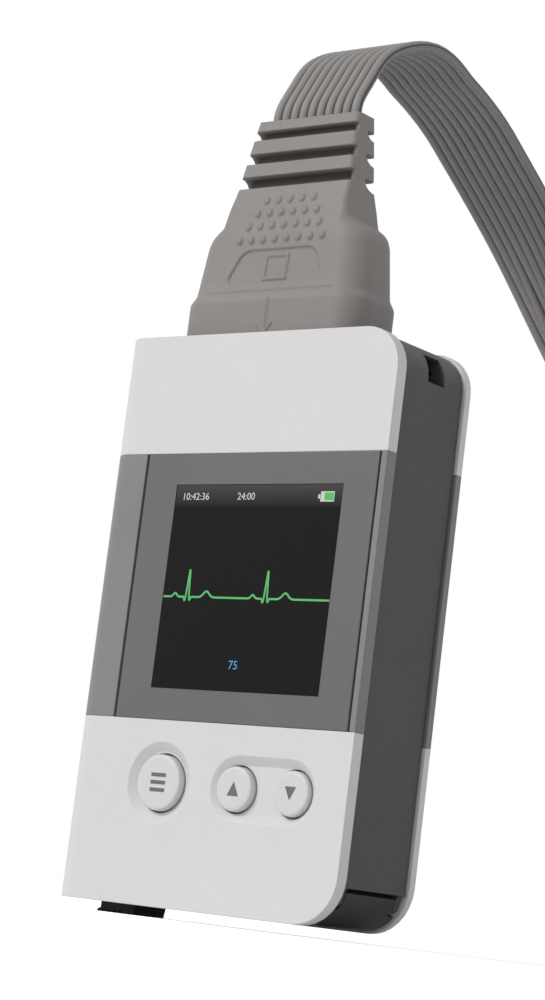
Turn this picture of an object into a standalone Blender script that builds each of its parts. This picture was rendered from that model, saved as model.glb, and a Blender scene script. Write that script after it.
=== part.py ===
"""Holter monitor: a palm sized ECG recorder with its plug and ten-lead patient cable, as separate pieces.

Every size is named below, in metres. Pieces are placed in case coordinates: x runs right, y back and z up
from the front left bottom corner of the case's plates. All of them hang on one empty at that corner, which
puts the middle of the case at x = y = 0 and the floor at z = 0. The recorder stands upright on its latch,
and the cable arches back out of the plug to a coil on the floor.
"""

import math

import bmesh
import bpy
import numpy as np
from mathutils import Matrix, Vector

# Clearances
SEAM_GAP = 0.0003
FIT = 0.0003
SNUG = 0.0002
CUT_MARGIN = 0.0010
LAP = 0.0003

# Case plates and spine
CASE_WIDTH = 0.0600
CASE_DEPTH = 0.0211
CASE_HEIGHT = 0.0972
FRONT_PLATE = 0.0024
REAR_PLATE = 0.0019
SPINE_WALL = 0.0020
SPINE_RADIUS = 0.0045
INNER_SPINE_RADIUS = 0.0003
TOP_RIGHT_RADIUS = 0.0070
BOTTOM_RIGHT_RADIUS = 0.0082
LEFT_CORNER_RADIUS = 0.0012
LOWER_COVER_HEIGHT = 0.0309
UPPER_COVER_HEIGHT = 0.02085

# Display window
WINDOW_LEFT = 0.0093
WINDOW_RIGHT_MARGIN = 0.0016
WINDOW_SEAM = 0.00045
WINDOW_RECESS = 0.0013
WINDOW_THICKNESS = 0.0010
WINDOW_SUNK = 0.00005
OPENING_LEFT = 0.0156
OPENING_RIGHT_MARGIN = 0.0072
OPENING_LOW_MARGIN = 0.0043
OPENING_HIGH_MARGIN = 0.00445

# Display module
PANEL_MARGIN = 0.0008
PANEL_THICKNESS = 0.0013
TRAY_THICKNESS = 0.0016
TRAY_WALL = 0.0006
FRAME_WALL = 0.0010

# Keys: places across the case as shares of its width
KEY_HEIGHT = 0.02045
MENU_X_SHARE = 0.346667
UP_X_SHARE = 0.616667
DOWN_X_SHARE = 0.811667
MENU_CAP_RADIUS = 0.0047
ARROW_CAP_RADIUS = 0.0037
KEY_CLEARANCE = 0.00030
KEY_PROUD = 0.0002
KEY_EDGE = 0.0005
KEY_FLANGE_RIM = 0.0008
KEY_FLANGE_THICKNESS = 0.0007
KEY_STEM_RADIUS = 0.0015
KEY_STEM_LENGTH = 0.0013
DISH_RADIUS = 0.0068
DISH_DEPTH = 0.0011
DISH_SLOPE = 0.0015
STADIUM_HALF_HEIGHT = 0.00548
STADIUM_HALF_SPAN_SHARE = 0.459
SWITCH_SIDE = 0.0045
SWITCH_BODY = 0.0005
SWITCH_BUTTON_RADIUS = 0.0012
SWITCH_BUTTON = 0.0002

# Main board and what it carries, with places and sides as shares of the board's width and height
BOARD_FRONT = 0.0062
BOARD_THICKNESS = 0.0010
BOARD_LEFT = 0.0046
BOARD_RIGHT_MARGIN = 0.0027
BOARD_BELOW_KEYS = 0.00285
BOARD_TOP_MARGIN = 0.0124
BOARD_CORNER_RADIUS = 0.0015
SCREW_LEFT = 0.0068
SCREW_RIGHT_MARGIN = 0.0048
SCREW_UNDER_BAND = 0.0009
SCREW_HIGH_MARGIN = 0.0028
SCREW_HEAD_RADIUS = 0.0016
SCREW_HEAD_HEIGHT = 0.0008
SCREW_SHAFT_RADIUS = 0.0008
SCREW_LENGTH = 0.0048
SCREW_SLOT_WIDTH = 0.0005
SCREW_SLOT_DEPTH = 0.0003
SHIELD_X_SHARES = (0.14, 0.56)
SHIELD_Z_SHARES = (0.63, 0.93)
SHIELD_DEPTH = 0.0026
SHIELD_WALL = 0.0004
CHIP_CORNER_SHARES = (0.33, 0.36)
CHIP_SIDE = 0.0110
CHIP_DEPTH = 0.0014
CHIP_DOT_RADIUS = 0.0006
CHIP_DOT_DEPTH = 0.0002
CARD_CORNER_SHARES = (0.65, 0.27)
CARD_WIDTH = 0.0110
CARD_LENGTH = 0.0150
CARD_THICKNESS = 0.0010
CARD_NOTCH = 0.0012
CARD_SOCKET_WALL = 0.0006
CARD_SOCKET_RISE = 0.0030

# Core housing
CORE_LEFT = 0.0023
CORE_INSET = 0.0010
CORE_REAR_GAP = 0.0004
CORE_WALL = 0.0012
CORE_BACK = 0.0010
CORE_BOTTOM = 0.0067
CORE_TOP_RADIUS = 0.0060
SHELF_BELOW_KEYS = 0.00235
SHELF_THICKNESS = 0.0008
SHELF_FRONT = 0.0076
CONTACT_PAD_DEPTH = 0.0006
CORNER_BLOCK_WIDTH = 0.0090
CORNER_BLOCK_HEIGHT = 0.0092
BOSS_RADIUS = 0.0021
BOSS_HOLE_RADIUS = 0.0010
LANYARD_X_MARGIN = 0.0032
LANYARD_Z_MARGIN = 0.00415
LANYARD_BAR_RADIUS = 0.00065
LANYARD_HOLE_RADIUS = 0.00085
LANYARD_POCKET_FRONT_SHARE = 0.4408
LANYARD_POCKET_WIDTH = 0.0046
LANYARD_POCKET_HALF_HEIGHT = 0.00215
LANYARD_POCKET_DEPTH = 0.0060

# Battery cell, which fills its bay at the AA size, and its contacts as shares of the cell's radius
CELL_LEFT = 0.0059
CELL_RIGHT_MARGIN = 0.0049
CELL_OVER_LATCH = 0.0004
CELL_NUB = 0.0013
CELL_NUB_SHARE = 0.36
CELL_GROOVE = 0.0003
CELL_GROOVE_PLACE = 0.0025
CELL_EDGE = 0.0006
SPRING_WIRE = 0.0005
SPRING_WIDE_SHARE = 0.44
SPRING_NARROW_SHARE = 0.22
SPRING_TURNS = 2.5
SPRING_PLATE = 0.0003
SPRING_PLATE_SHARE = 0.54
PLATE_CONTACT_THICKNESS = 0.0004
PLATE_CONTACT_SHARE = 0.41

# Battery door, hinge and latch
DOOR_LEFT = 0.0025
DOOR_BOTTOM = 0.0009
DOOR_SEAM = 0.0006
DOOR_FLOOR = 0.0012
DOOR_WALL = 0.0012
DOOR_LEFT_RADIUS = 0.0008
HINGE_X_MARGIN = 0.00285
HINGE_Z = 0.0055
BARREL_RADIUS = 0.0012
BARREL_MARGIN = 0.0014
EAR_RADIUS = 0.0017
EAR_THICKNESS = 0.0009
EAR_RISE = 0.0020
PIN_RADIUS = 0.0005
PIN_HOLE_RADIUS = 0.00065
HINGE_RELIEF_RADIUS = 0.0020
LATCH_LEFT = 0.0063
LATCH_LENGTH = 0.0078
LATCH_MIDDLE_SHARE = 0.474
LATCH_WIDTH = 0.0080
LATCH_STAND = 0.0017
LATCH_LIP = 0.0007
LATCH_SLANT = 0.0004
LATCH_TOOTH = 0.0003
LATCH_TEETH = 4
LATCH_TOOTH_PITCH = 0.0012
LATCH_NECK_LEFT = 0.0086
LATCH_NECK_LENGTH = 0.0040
LATCH_NECK_WIDTH = 0.0030
LATCH_PLATE_THICKNESS = 0.0006
LATCH_PLATE_WIDTH = 0.0060
LATCH_PLATE_RIGHT = 0.0160
LATCH_NOSE = 0.0028
LATCH_TRAVEL = 0.0016

# Patient socket and plug, placed and sized in the case by shares of its width and depth
PLUG_X_SHARE = 0.468333
PLUG_Y_SHARE = 0.509479
SOCKET_HALF_WIDTH_SHARE = 0.258333
SOCKET_HALF_DEPTH_SHARE = 0.227488
SOCKET_REACH = 0.0107
SOCKET_SUNK = 0.0002
SOCKET_WALL = 0.0020
SOCKET_SIDE_WALL = 0.0013
SOCKET_FLOOR = 0.0020
TONGUE_SIDE_GAP = 0.0025
TONGUE_HALF_DEPTH = 0.0008
TONGUE_LENGTH = 0.0065
INSERT_BOTTOM_GAP = 0.0012
INSERT_SEAT = 0.0025
INSERT_CLEARANCE = 0.0003
PLUG_LIFT = 0.0003
PLUG_HEIGHT = 0.0410
PLUG_HALF_WIDTH = 0.0189
PLUG_HALF_DEPTH = 0.0073
GROOVE_DEPTH = 0.0018
GROOVE_COLUMN = 0.0022
GROOVE_END_RADIUS = 0.0008
BUMP_RADIUS = 0.00060
BUMP_SPACING = 0.00262
BUMP_SUNK = 0.00020
PANEL_RECESS = 0.0003
PANEL_CORNER_RADIUS = 0.0010
BADGE_HALF_WIDTH = 0.0026
BADGE_HALF_HEIGHT = 0.0024
BADGE_LINE = 0.0005
BADGE_RISE = 0.0002
ARROW_HALF = 0.0016
ARROW_HEAD = 0.0020
ARROW_SHAFT_HALF = 0.0003
ARROW_SHAFT = 0.0030

# Patient cable
WIRE_DIAMETER = 0.0019
WIRE_COUNT = 10
BUNDLE_DIAMETER = 0.0073
RIBBON_SHIFT = 0.0259
RIBBON_RUN = 0.1402
RIBBON_RISE = 0.0197
RIBBON_OVER_COIL = 0.00215
COIL_LEAD = 0.01205
COIL_RADIUS = 0.0220
COIL_PITCH = 0.0087
COIL_TURNS = 4
COIL_SOLE = 0.0001
COIL_EXIT_RUN = 0.0230
COIL_EXIT_SWING = 0.0080
COIL_EXIT_DEGREES = 48
TIE_CLEARANCE = 0.0006
TIE_THICKNESS = 0.0010
TIE_WIDTH = 0.0040
TIE_HEAD_HEIGHT = 0.0052
TIE_HEAD_DEPTH = 0.0026
TIE_HEAD_RIM = 0.0006
CABLE_GAP = 0.0010
TAIL_PITCH = 0.0011
TAIL_LAYER = 0.0021
SNAP_RADIUS = 0.0043
SNAP_HEIGHT = 0.0040
SNAP_EDGE = 0.0006
SNAP_HOLE_RADIUS = 0.0019
SNAP_HOLE_DEPTH = 0.0024
SNAP_BARREL_RADIUS = 0.0015
SNAP_BARREL_LENGTH = 0.0040
SNAP_FIRST_REACH = 0.0277
SNAP_PITCH = 0.00575
SNAP_NEAR_REACH = 0.0520
SNAP_FAR_REACH = 0.0630

# Rings of the plug's overmould, bottom to top, as shares of PLUG_HEIGHT, PLUG_HALF_WIDTH and
# PLUG_HALF_DEPTH, with the corner radius as a share of the half depth
PLUG_SHARES = (
    (0.000, 1.000, 1.000, 0.68),
    (0.200, 1.000, 1.000, 0.68),
    (0.214, 0.990, 0.975, 0.68),
    (0.227, 0.965, 0.925, 0.72),
    (0.259, 0.962, 0.897, 0.76),
    (0.444, 0.925, 0.815, 0.84),
    (0.481, 0.885, 0.795, 0.82),
    (0.511, 0.820, 0.774, 0.66),
    (0.541, 0.700, 0.753, 0.30),
    (0.560, 0.675, 0.740, 0.22),
    (0.617, 0.650, 0.699, 0.22),
    (0.667, 0.632, 0.628, 0.24),
    (0.706, 0.620, 0.605, 0.25),
    (0.812, 0.592, 0.570, 0.26),
    (0.916, 0.557, 0.532, 0.28),
    (1.000, 0.520, 0.492, 0.30),
)
# Which two of those rings bound the sloping front that carries the panel
PANEL_RINGS = (4, 5)
# Low and high edges of the strain relief's grooves, as shares of PLUG_HEIGHT
GROOVE_SHARES = ((0.709, 0.753), (0.815, 0.862), (0.919, 0.960))
# Rows of grip bumps: height as a share of PLUG_HEIGHT, and how many
BUMP_ROW_SHARES = ((0.634, 5), (0.575, 6), (0.504, 7), (0.452, 8))
# Corners of the panel, as shares of PLUG_HALF_WIDTH and of the slope between its rings
PANEL_CORNER_SHARES = ((-0.560, 0.02), (0.560, 0.02), (0.422, 0.80), (-0.402, 0.80))
BADGE_CENTRE_SHARE = 0.37
ARROW_TIP_SHARE = 0.030

# The cable's way from the plug to the coil: shift sideways, run backwards and height, as shares of
# RIBBON_SHIFT, RIBBON_RUN and, above and below the start, RIBBON_RISE and the fall to the coil
RIBBON_WAY_SHARES = (
    (0.000, 0.0000, 0.000),
    (0.000, 0.0010, 0.112),
    (0.000, 0.0070, 0.225),
    (0.000, 0.0221, 0.406),
    (0.000, 0.0378, 0.594),
    (0.000, 0.0571, 0.726),
    (0.000, 0.0749, 0.807),
    (0.000, 0.0984, 0.888),
    (0.000, 0.1476, 1.000),
    (0.000, 0.1976, 0.959),
    (0.000, 0.2254, 0.883),
    (0.000, 0.2596, 0.817),
    (0.000, 0.3160, 0.660),
    (0.004, 0.3584, 0.482),
    (0.046, 0.4262, 0.132),
    (0.135, 0.4868, -0.066),
    (0.259, 0.5439, -0.188),
    (0.405, 0.5974, -0.333),
    (0.552, 0.6509, -0.487),
    (0.687, 0.7079, -0.636),
    (0.807, 0.7721, -0.768),
    (0.907, 0.8470, -0.876),
    (0.973, 0.9255, -0.953),
    (1.000, 1.0000, -1.000),
)
# Where on that way the flat ribbon starts and ends its change to a round bundle
RIBBON_ROUNDING_SHARES = (0.42, 0.86)
VALLEY_SHARE = 0.35

CORNER_STEPS = 6
PLUG_CORNER_STEPS = 4
ROUND_STEPS = 24
FINE_STEPS = 32
SMALL_STEPS = 10
SNAP_STEPS = 16
TURN_STEPS = 16
WIRE_BEVEL_STEPS = 1
BUNDLE_BEVEL_STEPS = 3
WELD = 0.000002

# Levels and places that follow from the sizes
BAND_BOTTOM = LOWER_COVER_HEIGHT
BAND_TOP = CASE_HEIGHT - UPPER_COVER_HEIGHT
OPENING_X = (OPENING_LEFT, CASE_WIDTH - OPENING_RIGHT_MARGIN)
OPENING_Z = (BAND_BOTTOM + OPENING_LOW_MARGIN, BAND_TOP - OPENING_HIGH_MARGIN)
PLATE_REAR = CASE_DEPTH - REAR_PLATE
CORE_FRONT = FRONT_PLATE + FIT
CORE_REAR = PLATE_REAR - CORE_REAR_GAP
CORE_BED = CORE_REAR - CORE_BACK
CORE_RIGHT = CASE_WIDTH - CORE_INSET
CORE_TOP = CASE_HEIGHT - CORE_INSET
SHELF_BOTTOM = KEY_HEIGHT - SHELF_BELOW_KEYS
MENU_X = CASE_WIDTH * MENU_X_SHARE
UP_X = CASE_WIDTH * UP_X_SHARE
DOWN_X = CASE_WIDTH * DOWN_X_SHARE
STADIUM_X = (UP_X + DOWN_X) / 2
STADIUM_HALF_SPAN = (DOWN_X - UP_X) * STADIUM_HALF_SPAN_SHARE
BOARD_REAR = BOARD_FRONT + BOARD_THICKNESS
BOARD_RIGHT = CASE_WIDTH - BOARD_RIGHT_MARGIN
BOARD_BOTTOM = KEY_HEIGHT - BOARD_BELOW_KEYS
BOARD_TOP = CASE_HEIGHT - BOARD_TOP_MARGIN
DOOR_TOP = CORE_BOTTOM - DOOR_SEAM
DOOR_CORNER_RADIUS = BOTTOM_RIGHT_RADIUS - CORE_INSET
HINGE_X = CASE_WIDTH - HINGE_X_MARGIN
BARREL_FRONT = CORE_FRONT + BARREL_MARGIN
BARREL_REAR = CORE_REAR - BARREL_MARGIN
LATCH_MIDDLE = CASE_DEPTH * LATCH_MIDDLE_SHARE
LATCH_PLATE_LOW = DOOR_BOTTOM + DOOR_FLOOR + FIT
LATCH_PLATE_Y = (LATCH_MIDDLE - LATCH_PLATE_WIDTH / 2, LATCH_MIDDLE + LATCH_PLATE_WIDTH / 2)
LANYARD_X = CORE_RIGHT - LANYARD_X_MARGIN
LANYARD_Z = CORE_TOP - LANYARD_Z_MARGIN
LANYARD_POCKET_FRONT = CASE_DEPTH * LANYARD_POCKET_FRONT_SHARE
LANYARD_BAR_REAR = LANYARD_POCKET_FRONT + LANYARD_POCKET_WIDTH + CORE_WALL
CELL_FRONT = CORE_FRONT + FIT
CELL_REAR = CORE_BED - FIT
CELL_LOW = LATCH_PLATE_LOW + LATCH_PLATE_THICKNESS + CELL_OVER_LATCH
CELL_HIGH = SHELF_BOTTOM - SNUG
CELL_RADIUS = min(CELL_REAR - CELL_FRONT, CELL_HIGH - CELL_LOW) / 2
CELL_Y = (CELL_FRONT + CELL_REAR) / 2
CELL_Z = CELL_LOW + CELL_RADIUS
CELL_RIGHT = CASE_WIDTH - CELL_RIGHT_MARGIN
PLUG_X = CASE_WIDTH * PLUG_X_SHARE
PLUG_Y = CASE_DEPTH * PLUG_Y_SHARE
SOCKET_HALF_WIDTH = CASE_WIDTH * SOCKET_HALF_WIDTH_SHARE
SOCKET_HALF_DEPTH = CASE_DEPTH * SOCKET_HALF_DEPTH_SHARE
SOCKET_BOTTOM = CORE_TOP - SOCKET_REACH
TONGUE_HALF_WIDTH = SOCKET_HALF_WIDTH - SOCKET_WALL - TONGUE_SIDE_GAP
INSERT_HALF_WIDTH = SOCKET_HALF_WIDTH - SOCKET_WALL - INSERT_CLEARANCE
INSERT_HALF_DEPTH = SOCKET_HALF_DEPTH - SOCKET_SIDE_WALL - INSERT_CLEARANCE
FLOOR = -LATCH_STAND
PLUG_BOTTOM = CORE_TOP + PLUG_LIFT
PLUG_TOP = PLUG_BOTTOM + PLUG_HEIGHT
CABLE_START = PLUG_TOP + FIT
COIL_X = PLUG_X + RIBBON_SHIFT - COIL_RADIUS
COIL_Y = PLUG_Y + RIBBON_RUN + COIL_LEAD
COIL_LOW = FLOOR + BUNDLE_DIAMETER / 2 + COIL_SOLE
COIL_HIGH = COIL_LOW + COIL_TURNS * COIL_PITCH
RIBBON_FALL = CABLE_START - COIL_HIGH - RIBBON_OVER_COIL
SCREW_PLACES = (
    (SCREW_LEFT, BAND_BOTTOM - SCREW_UNDER_BAND),
    (CASE_WIDTH - SCREW_RIGHT_MARGIN, BAND_BOTTOM - SCREW_UNDER_BAND),
    (SCREW_LEFT, BOARD_TOP - SCREW_HIGH_MARGIN),
    (CASE_WIDTH - SCREW_RIGHT_MARGIN, BOARD_TOP - SCREW_HIGH_MARGIN),
)

# Finishes: base colour, roughness and metallic value
FINISHES = {
    "cover_white": ((0.70, 0.69, 0.69), 0.50, 0.0),
    "band_grey": ((0.26, 0.26, 0.25), 0.48, 0.0),
    "window_grey": ((0.15, 0.14, 0.14), 0.40, 0.0),
    "display_glass": ((0.03, 0.03, 0.03), 0.12, 0.0),
    "tray_white": ((0.80, 0.80, 0.80), 0.55, 0.0),
    "sheet_steel": ((0.62, 0.62, 0.62), 0.38, 1.0),
    "core_black": ((0.075, 0.072, 0.070), 0.52, 0.0),
    "pin_steel": ((0.50, 0.50, 0.50), 0.32, 1.0),
    "board_green": ((0.03, 0.18, 0.08), 0.35, 0.0),
    "can_steel": ((0.66, 0.66, 0.65), 0.34, 1.0),
    "chip_black": ((0.04, 0.04, 0.04), 0.42, 0.0),
    "socket_steel": ((0.60, 0.60, 0.60), 0.38, 1.0),
    "card_black": ((0.03, 0.03, 0.03), 0.34, 0.0),
    "key_white": ((0.66, 0.65, 0.65), 0.46, 0.0),
    "switch_steel": ((0.58, 0.58, 0.58), 0.30, 1.0),
    "cell_grey": ((0.30, 0.31, 0.33), 0.32, 0.3),
    "contact_nickel": ((0.70, 0.69, 0.66), 0.25, 1.0),
    "door_black": ((0.060, 0.058, 0.056), 0.50, 0.0),
    "latch_black": ((0.035, 0.035, 0.035), 0.55, 0.0),
    "socket_black": ((0.05, 0.05, 0.05), 0.50, 0.0),
    "insert_black": ((0.05, 0.05, 0.05), 0.50, 0.0),
    "plug_grey": ((0.24, 0.23, 0.21), 0.58, 0.0),
    "cable_grey": ((0.30, 0.29, 0.27), 0.55, 0.0),
    "tie_black": ((0.03, 0.03, 0.03), 0.38, 0.0),
    "screw_steel": ((0.45, 0.45, 0.45), 0.36, 1.0),
    "snap_grey": ((0.24, 0.23, 0.21), 0.55, 0.0),
}
# The finish of each piece, by its name without its number
PIECE_FINISHES = {
    "upper_cover": "cover_white",
    "middle_band": "band_grey",
    "lower_cover": "cover_white",
    "display_window": "window_grey",
    "display_panel": "display_glass",
    "backlight_tray": "tray_white",
    "display_frame": "sheet_steel",
    "core_housing": "core_black",
    "lanyard_bar": "pin_steel",
    "main_board": "board_green",
    "front_end_shield": "can_steel",
    "processor": "chip_black",
    "card_socket": "socket_steel",
    "memory_card": "card_black",
    "menu_key": "key_white",
    "up_key": "key_white",
    "down_key": "key_white",
    "menu_switch": "switch_steel",
    "up_switch": "switch_steel",
    "down_switch": "switch_steel",
    "battery_cell": "cell_grey",
    "battery_spring": "contact_nickel",
    "battery_plate": "contact_nickel",
    "battery_door": "door_black",
    "door_hinge_pin": "pin_steel",
    "door_latch": "latch_black",
    "patient_socket": "socket_black",
    "plug_insert": "insert_black",
    "plug_overmould": "plug_grey",
    "board_screw": "screw_steel",
    "ribbon_cable": "cable_grey",
    "lead_coil": "cable_grey",
    "cable_tie": "tie_black",
    "lead_tail": "cable_grey",
    "lead_snap": "snap_grey",
}

# Turns that lay an outline's x and y, or a turned body's axis, along the case's axes
FLAT_TURNS = {"X": (math.pi / 2, 0, math.pi / 2), "Y": (math.pi / 2, 0, 0), "Z": (0, 0, 0)}
SPIN_TURNS = {"X": (0, math.pi / 2, 0), "Y": (-math.pi / 2, 0, 0), "Z": (0, 0, 0)}
SHARP_DEGREES = 30


def clear_scene():
    """Remove the startup objects."""
    for obj in list(bpy.data.objects):
        bpy.data.objects.remove(obj)


def make_homes():
    """A collection for the recorder's pieces, one for its cutters, and the empty at the case's corner."""
    for name in ("holter_monitor", "cutters"):
        bpy.context.scene.collection.children.link(bpy.data.collections.new(name))
    corner = bpy.data.objects.new("case_corner", None)
    bpy.data.collections["holter_monitor"].objects.link(corner)
    corner.location = (-CASE_WIDTH / 2, -CASE_DEPTH / 2, -FLOOR)
    corner.empty_display_size = CASE_DEPTH


def add_piece(name, data, place=(0, 0, 0), turn=(0, 0, 0)):
    """An object that hangs on the case's corner."""
    obj = bpy.data.objects.new(name, data)
    bpy.data.collections["holter_monitor"].objects.link(obj)
    obj.parent = bpy.data.objects["case_corner"]
    obj.location = place
    obj.rotation_euler = turn
    return obj


def mesh_of(name, work):
    """A mesh from a finished bmesh."""
    mesh = bpy.data.meshes.new(name)
    work.to_mesh(mesh)
    work.free()
    return mesh


def shade_round(mesh):
    """Smooth shading, with the sharp edges kept."""
    mesh.shade_smooth()
    mesh.set_sharp_from_angle(angle=math.radians(SHARP_DEGREES))


def on_axis(axis, centre, level):
    """A point at a level of an axis: X takes a centre in (y, z), Y in (x, z), Z in (x, y)."""
    u, v = centre
    return {"X": (level, u, v), "Y": (u, level, v), "Z": (u, v, level)}[axis]


def block(name, x_range, y_range, z_range):
    """A box from its three ranges, with its origin in its middle."""
    ranges = np.array((x_range, y_range, z_range), float)
    work = bmesh.new()
    bmesh.ops.create_cube(work, size=1.0)
    bmesh.ops.scale(work, vec=Vector(ranges[:, 1] - ranges[:, 0]), verts=work.verts)
    return add_piece(name, mesh_of(name, work), ranges.mean(axis=1))


def cone(name, axis, centre, radii, levels, steps):
    """A cone's slice along an axis, from the first radius and level to the second."""
    low, high = levels
    work = bmesh.new()
    bmesh.ops.create_cone(
        work, cap_ends=True, segments=steps, radius1=radii[0], radius2=radii[1], depth=high - low
    )
    mesh = mesh_of(name, work)
    shade_round(mesh)
    return add_piece(name, mesh, on_axis(axis, centre, (low + high) / 2), SPIN_TURNS[axis])


def disc(name, axis, centre, radius, low, high, steps=ROUND_STEPS):
    """A plain cylinder along an axis."""
    return cone(name, axis, centre, (radius, radius), (low, high), steps)


def turned(name, axis, centre, profile, steps=ROUND_STEPS):
    """A profile of (level, radius) pairs, swept round an axis by a Screw modifier."""
    outer = [(radius, 0, level) for level, radius in profile]
    points = [(0, 0, profile[0][0]), *outer, (0, 0, profile[-1][0])][::-1]
    mesh = bpy.data.meshes.new(name)
    mesh.from_pydata(points, [(k, k + 1) for k in range(len(points) - 1)], [])
    obj = add_piece(name, mesh, on_axis(axis, centre, 0), SPIN_TURNS[axis])
    sweep = obj.modifiers.new("sweep", "SCREW")
    sweep.steps = steps
    sweep.render_steps = steps
    sweep.use_merge_vertices = True
    sweep.merge_threshold = WELD
    return obj


def made_solid(obj):
    """A curve object made a mesh, with its caps welded on."""
    graph = bpy.context.evaluated_depsgraph_get()
    mesh = bpy.data.meshes.new_from_object(obj.evaluated_get(graph))
    work = bmesh.new()
    work.from_mesh(mesh)
    bmesh.ops.remove_doubles(work, verts=work.verts, dist=WELD)
    bmesh.ops.recalc_face_normals(work, faces=work.faces)
    work.to_mesh(mesh)
    work.free()
    name = obj.name
    place, turn = obj.location.copy(), obj.rotation_euler.copy()
    bpy.data.objects.remove(obj)
    return add_piece(name, mesh, place, turn)


def prism(name, axis, outline, low, high):
    """A flat outline given thickness along an axis, as a filled curve made solid."""
    outline = np.asarray(outline, float)
    centre = (outline.min(axis=0) + outline.max(axis=0)) / 2
    curve = bpy.data.curves.new(name, "CURVE")
    curve.dimensions = "2D"
    curve.fill_mode = "BOTH"
    curve.extrude = (high - low) / 2
    spline = curve.splines.new("POLY")
    spline.points.add(len(outline) - 1)
    for point, (u, v) in zip(spline.points, outline - centre):
        point.co = (u, v, 0, 1)
    spline.use_cyclic_u = True
    solid = made_solid(add_piece(name, curve, on_axis(axis, centre, (low + high) / 2), FLAT_TURNS[axis]))
    shade_round(solid.data)
    return solid


def tube(name, route, radius, resolution):
    """A round bar along a route, as a curve with a bevel and filled caps."""
    route = np.asarray(route, float)
    curve = bpy.data.curves.new(name, "CURVE")
    curve.dimensions = "3D"
    curve.bevel_depth = radius
    curve.bevel_resolution = resolution
    curve.use_fill_caps = True
    spline = curve.splines.new("POLY")
    spline.points.add(len(route) - 1)
    for point, place in zip(spline.points, route - route[0]):
        point.co = (*place, 1)
    return add_piece(name, curve, route[0])


def loft(name, rings):
    """A closed body through rings of equal point counts, for sections that change on the way."""
    rings = np.asarray(rings, float)
    levels, count = rings.shape[:2]
    middle = (rings.reshape(-1, 3).min(axis=0) + rings.reshape(-1, 3).max(axis=0)) / 2
    work = bmesh.new()
    made = [[work.verts.new(point - middle) for point in ring] for ring in rings]
    for level in range(levels - 1):
        for k in range(count):
            step = (k + 1) % count
            work.faces.new((made[level][k], made[level][step], made[level + 1][step], made[level + 1][k]))
    work.faces.new(made[0][::-1])
    work.faces.new(made[-1])
    bmesh.ops.recalc_face_normals(work, faces=work.faces)
    mesh = mesh_of(name, work)
    shade_round(mesh)
    return add_piece(name, mesh, middle)


def combine(body, operation, tools):
    """Give a body a Boolean modifier for each tool, and put the tools away as cutters."""
    for tool in tools:
        modifier = body.modifiers.new(tool.name, "BOOLEAN")
        modifier.operation = operation
        modifier.solver = "EXACT"
        modifier.object = tool
        tool.hide_render = True
        tool.display_type = "WIRE"
        bpy.data.collections["holter_monitor"].objects.unlink(tool)
        bpy.data.collections["cutters"].objects.link(tool)
    return body


def cut(body, *tools):
    """Take the tools away from the body."""
    return combine(body, "DIFFERENCE", tools)


def join(body, *tools):
    """Melt the tools into the body."""
    return combine(body, "UNION", tools)


def keep(body, *tools):
    """Keep only what lies inside every tool."""
    return combine(body, "INTERSECT", tools)


def hang_on(obj, point):
    """Move an object's origin to a point, and leave its shape where it is."""
    shift = obj.rotation_euler.to_matrix().inverted() @ (obj.location - Vector(point))
    obj.data.transform(Matrix.Translation(shift))
    obj.location = point


def set_level(axis, outline, level):
    """An outline's points, all put at one level of an axis."""
    return [on_axis(axis, point, level) for point in outline]


def rectangle(left, right, bottom, top):
    """Four corner points."""
    return [(left, bottom), (right, bottom), (right, top), (left, top)]


def arc(centre, radius, start, sweep, steps):
    """Points on a circular arc, angles in degrees."""
    angles = np.radians(np.linspace(start, start + sweep, steps + 1))
    return [(centre[0] + radius * math.cos(t), centre[1] + radius * math.sin(t)) for t in angles]


def rounded(left, right, bottom, top, radii, steps=CORNER_STEPS):
    """A rectangle with its own radius at each corner: bottom left, bottom right, top right, top left."""
    outline = []
    corners = ((left, bottom, 1, 1), (right, bottom, -1, 1), (right, top, -1, -1), (left, top, 1, -1))
    for index, (u, v, towards_u, towards_v) in enumerate(corners):
        radius = radii[index]
        if radius <= 0:
            outline.append((u, v))
        else:
            centre = (u + towards_u * radius, v + towards_v * radius)
            outline += arc(centre, radius, 180 + 90 * index, 90, steps)
    return outline


def softened(corners, radius, steps):
    """A convex outline with each corner rounded by a curve that starts a radius away from it."""
    corners = [np.array(corner, float) for corner in corners]
    outline = []
    for index, corner in enumerate(corners):
        before = corners[index - 1] - corner
        after = corners[(index + 1) % len(corners)] - corner
        start = corner + before / np.linalg.norm(before) * radius
        end = corner + after / np.linalg.norm(after) * radius
        for t in np.linspace(0, 1, steps + 1):
            outline.append(tuple((1 - t) ** 2 * start + 2 * t * (1 - t) * corner + t**2 * end))
    return outline


def smooth(points, per_span):
    """A Catmull-Rom curve through points, with a number of steps in each span."""
    points = np.asarray(points, float)
    ends = np.vstack([2 * points[0] - points[1], points, 2 * points[-1] - points[-2]])
    t = (np.arange(per_span) / per_span)[:, None]
    spans = []
    for k in range(len(points) - 1):
        a, b, c, d = ends[k : k + 4]
        curve = 2 * b + (c - a) * t + (2 * a - 5 * b + 4 * c - d) * t**2 + (3 * b - a - 3 * c + d) * t**3
        spans.append(curve / 2)
    return np.vstack([*spans, points[-1:]])


def hermite(start, start_way, end, end_way, steps):
    """A cubic from one point and direction to another."""
    t = np.linspace(0, 1, steps + 1)[:, None]
    start, start_way, end, end_way = (np.asarray(v, float) for v in (start, start_way, end, end_way))
    blend = 3 * t**2 - 2 * t**3
    leave = t - 2 * t**2 + t**3
    arrive = t**3 - t**2
    return start + (end - start) * blend + start_way * leave + end_way * arrive


def case_outline():
    """The plates' front outline, with its four corner radii."""
    radii = (LEFT_CORNER_RADIUS, BOTTOM_RIGHT_RADIUS, TOP_RIGHT_RADIUS, LEFT_CORNER_RADIUS)
    return rounded(0, CASE_WIDTH, 0, CASE_HEIGHT, radii, CORNER_STEPS + 2)


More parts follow.
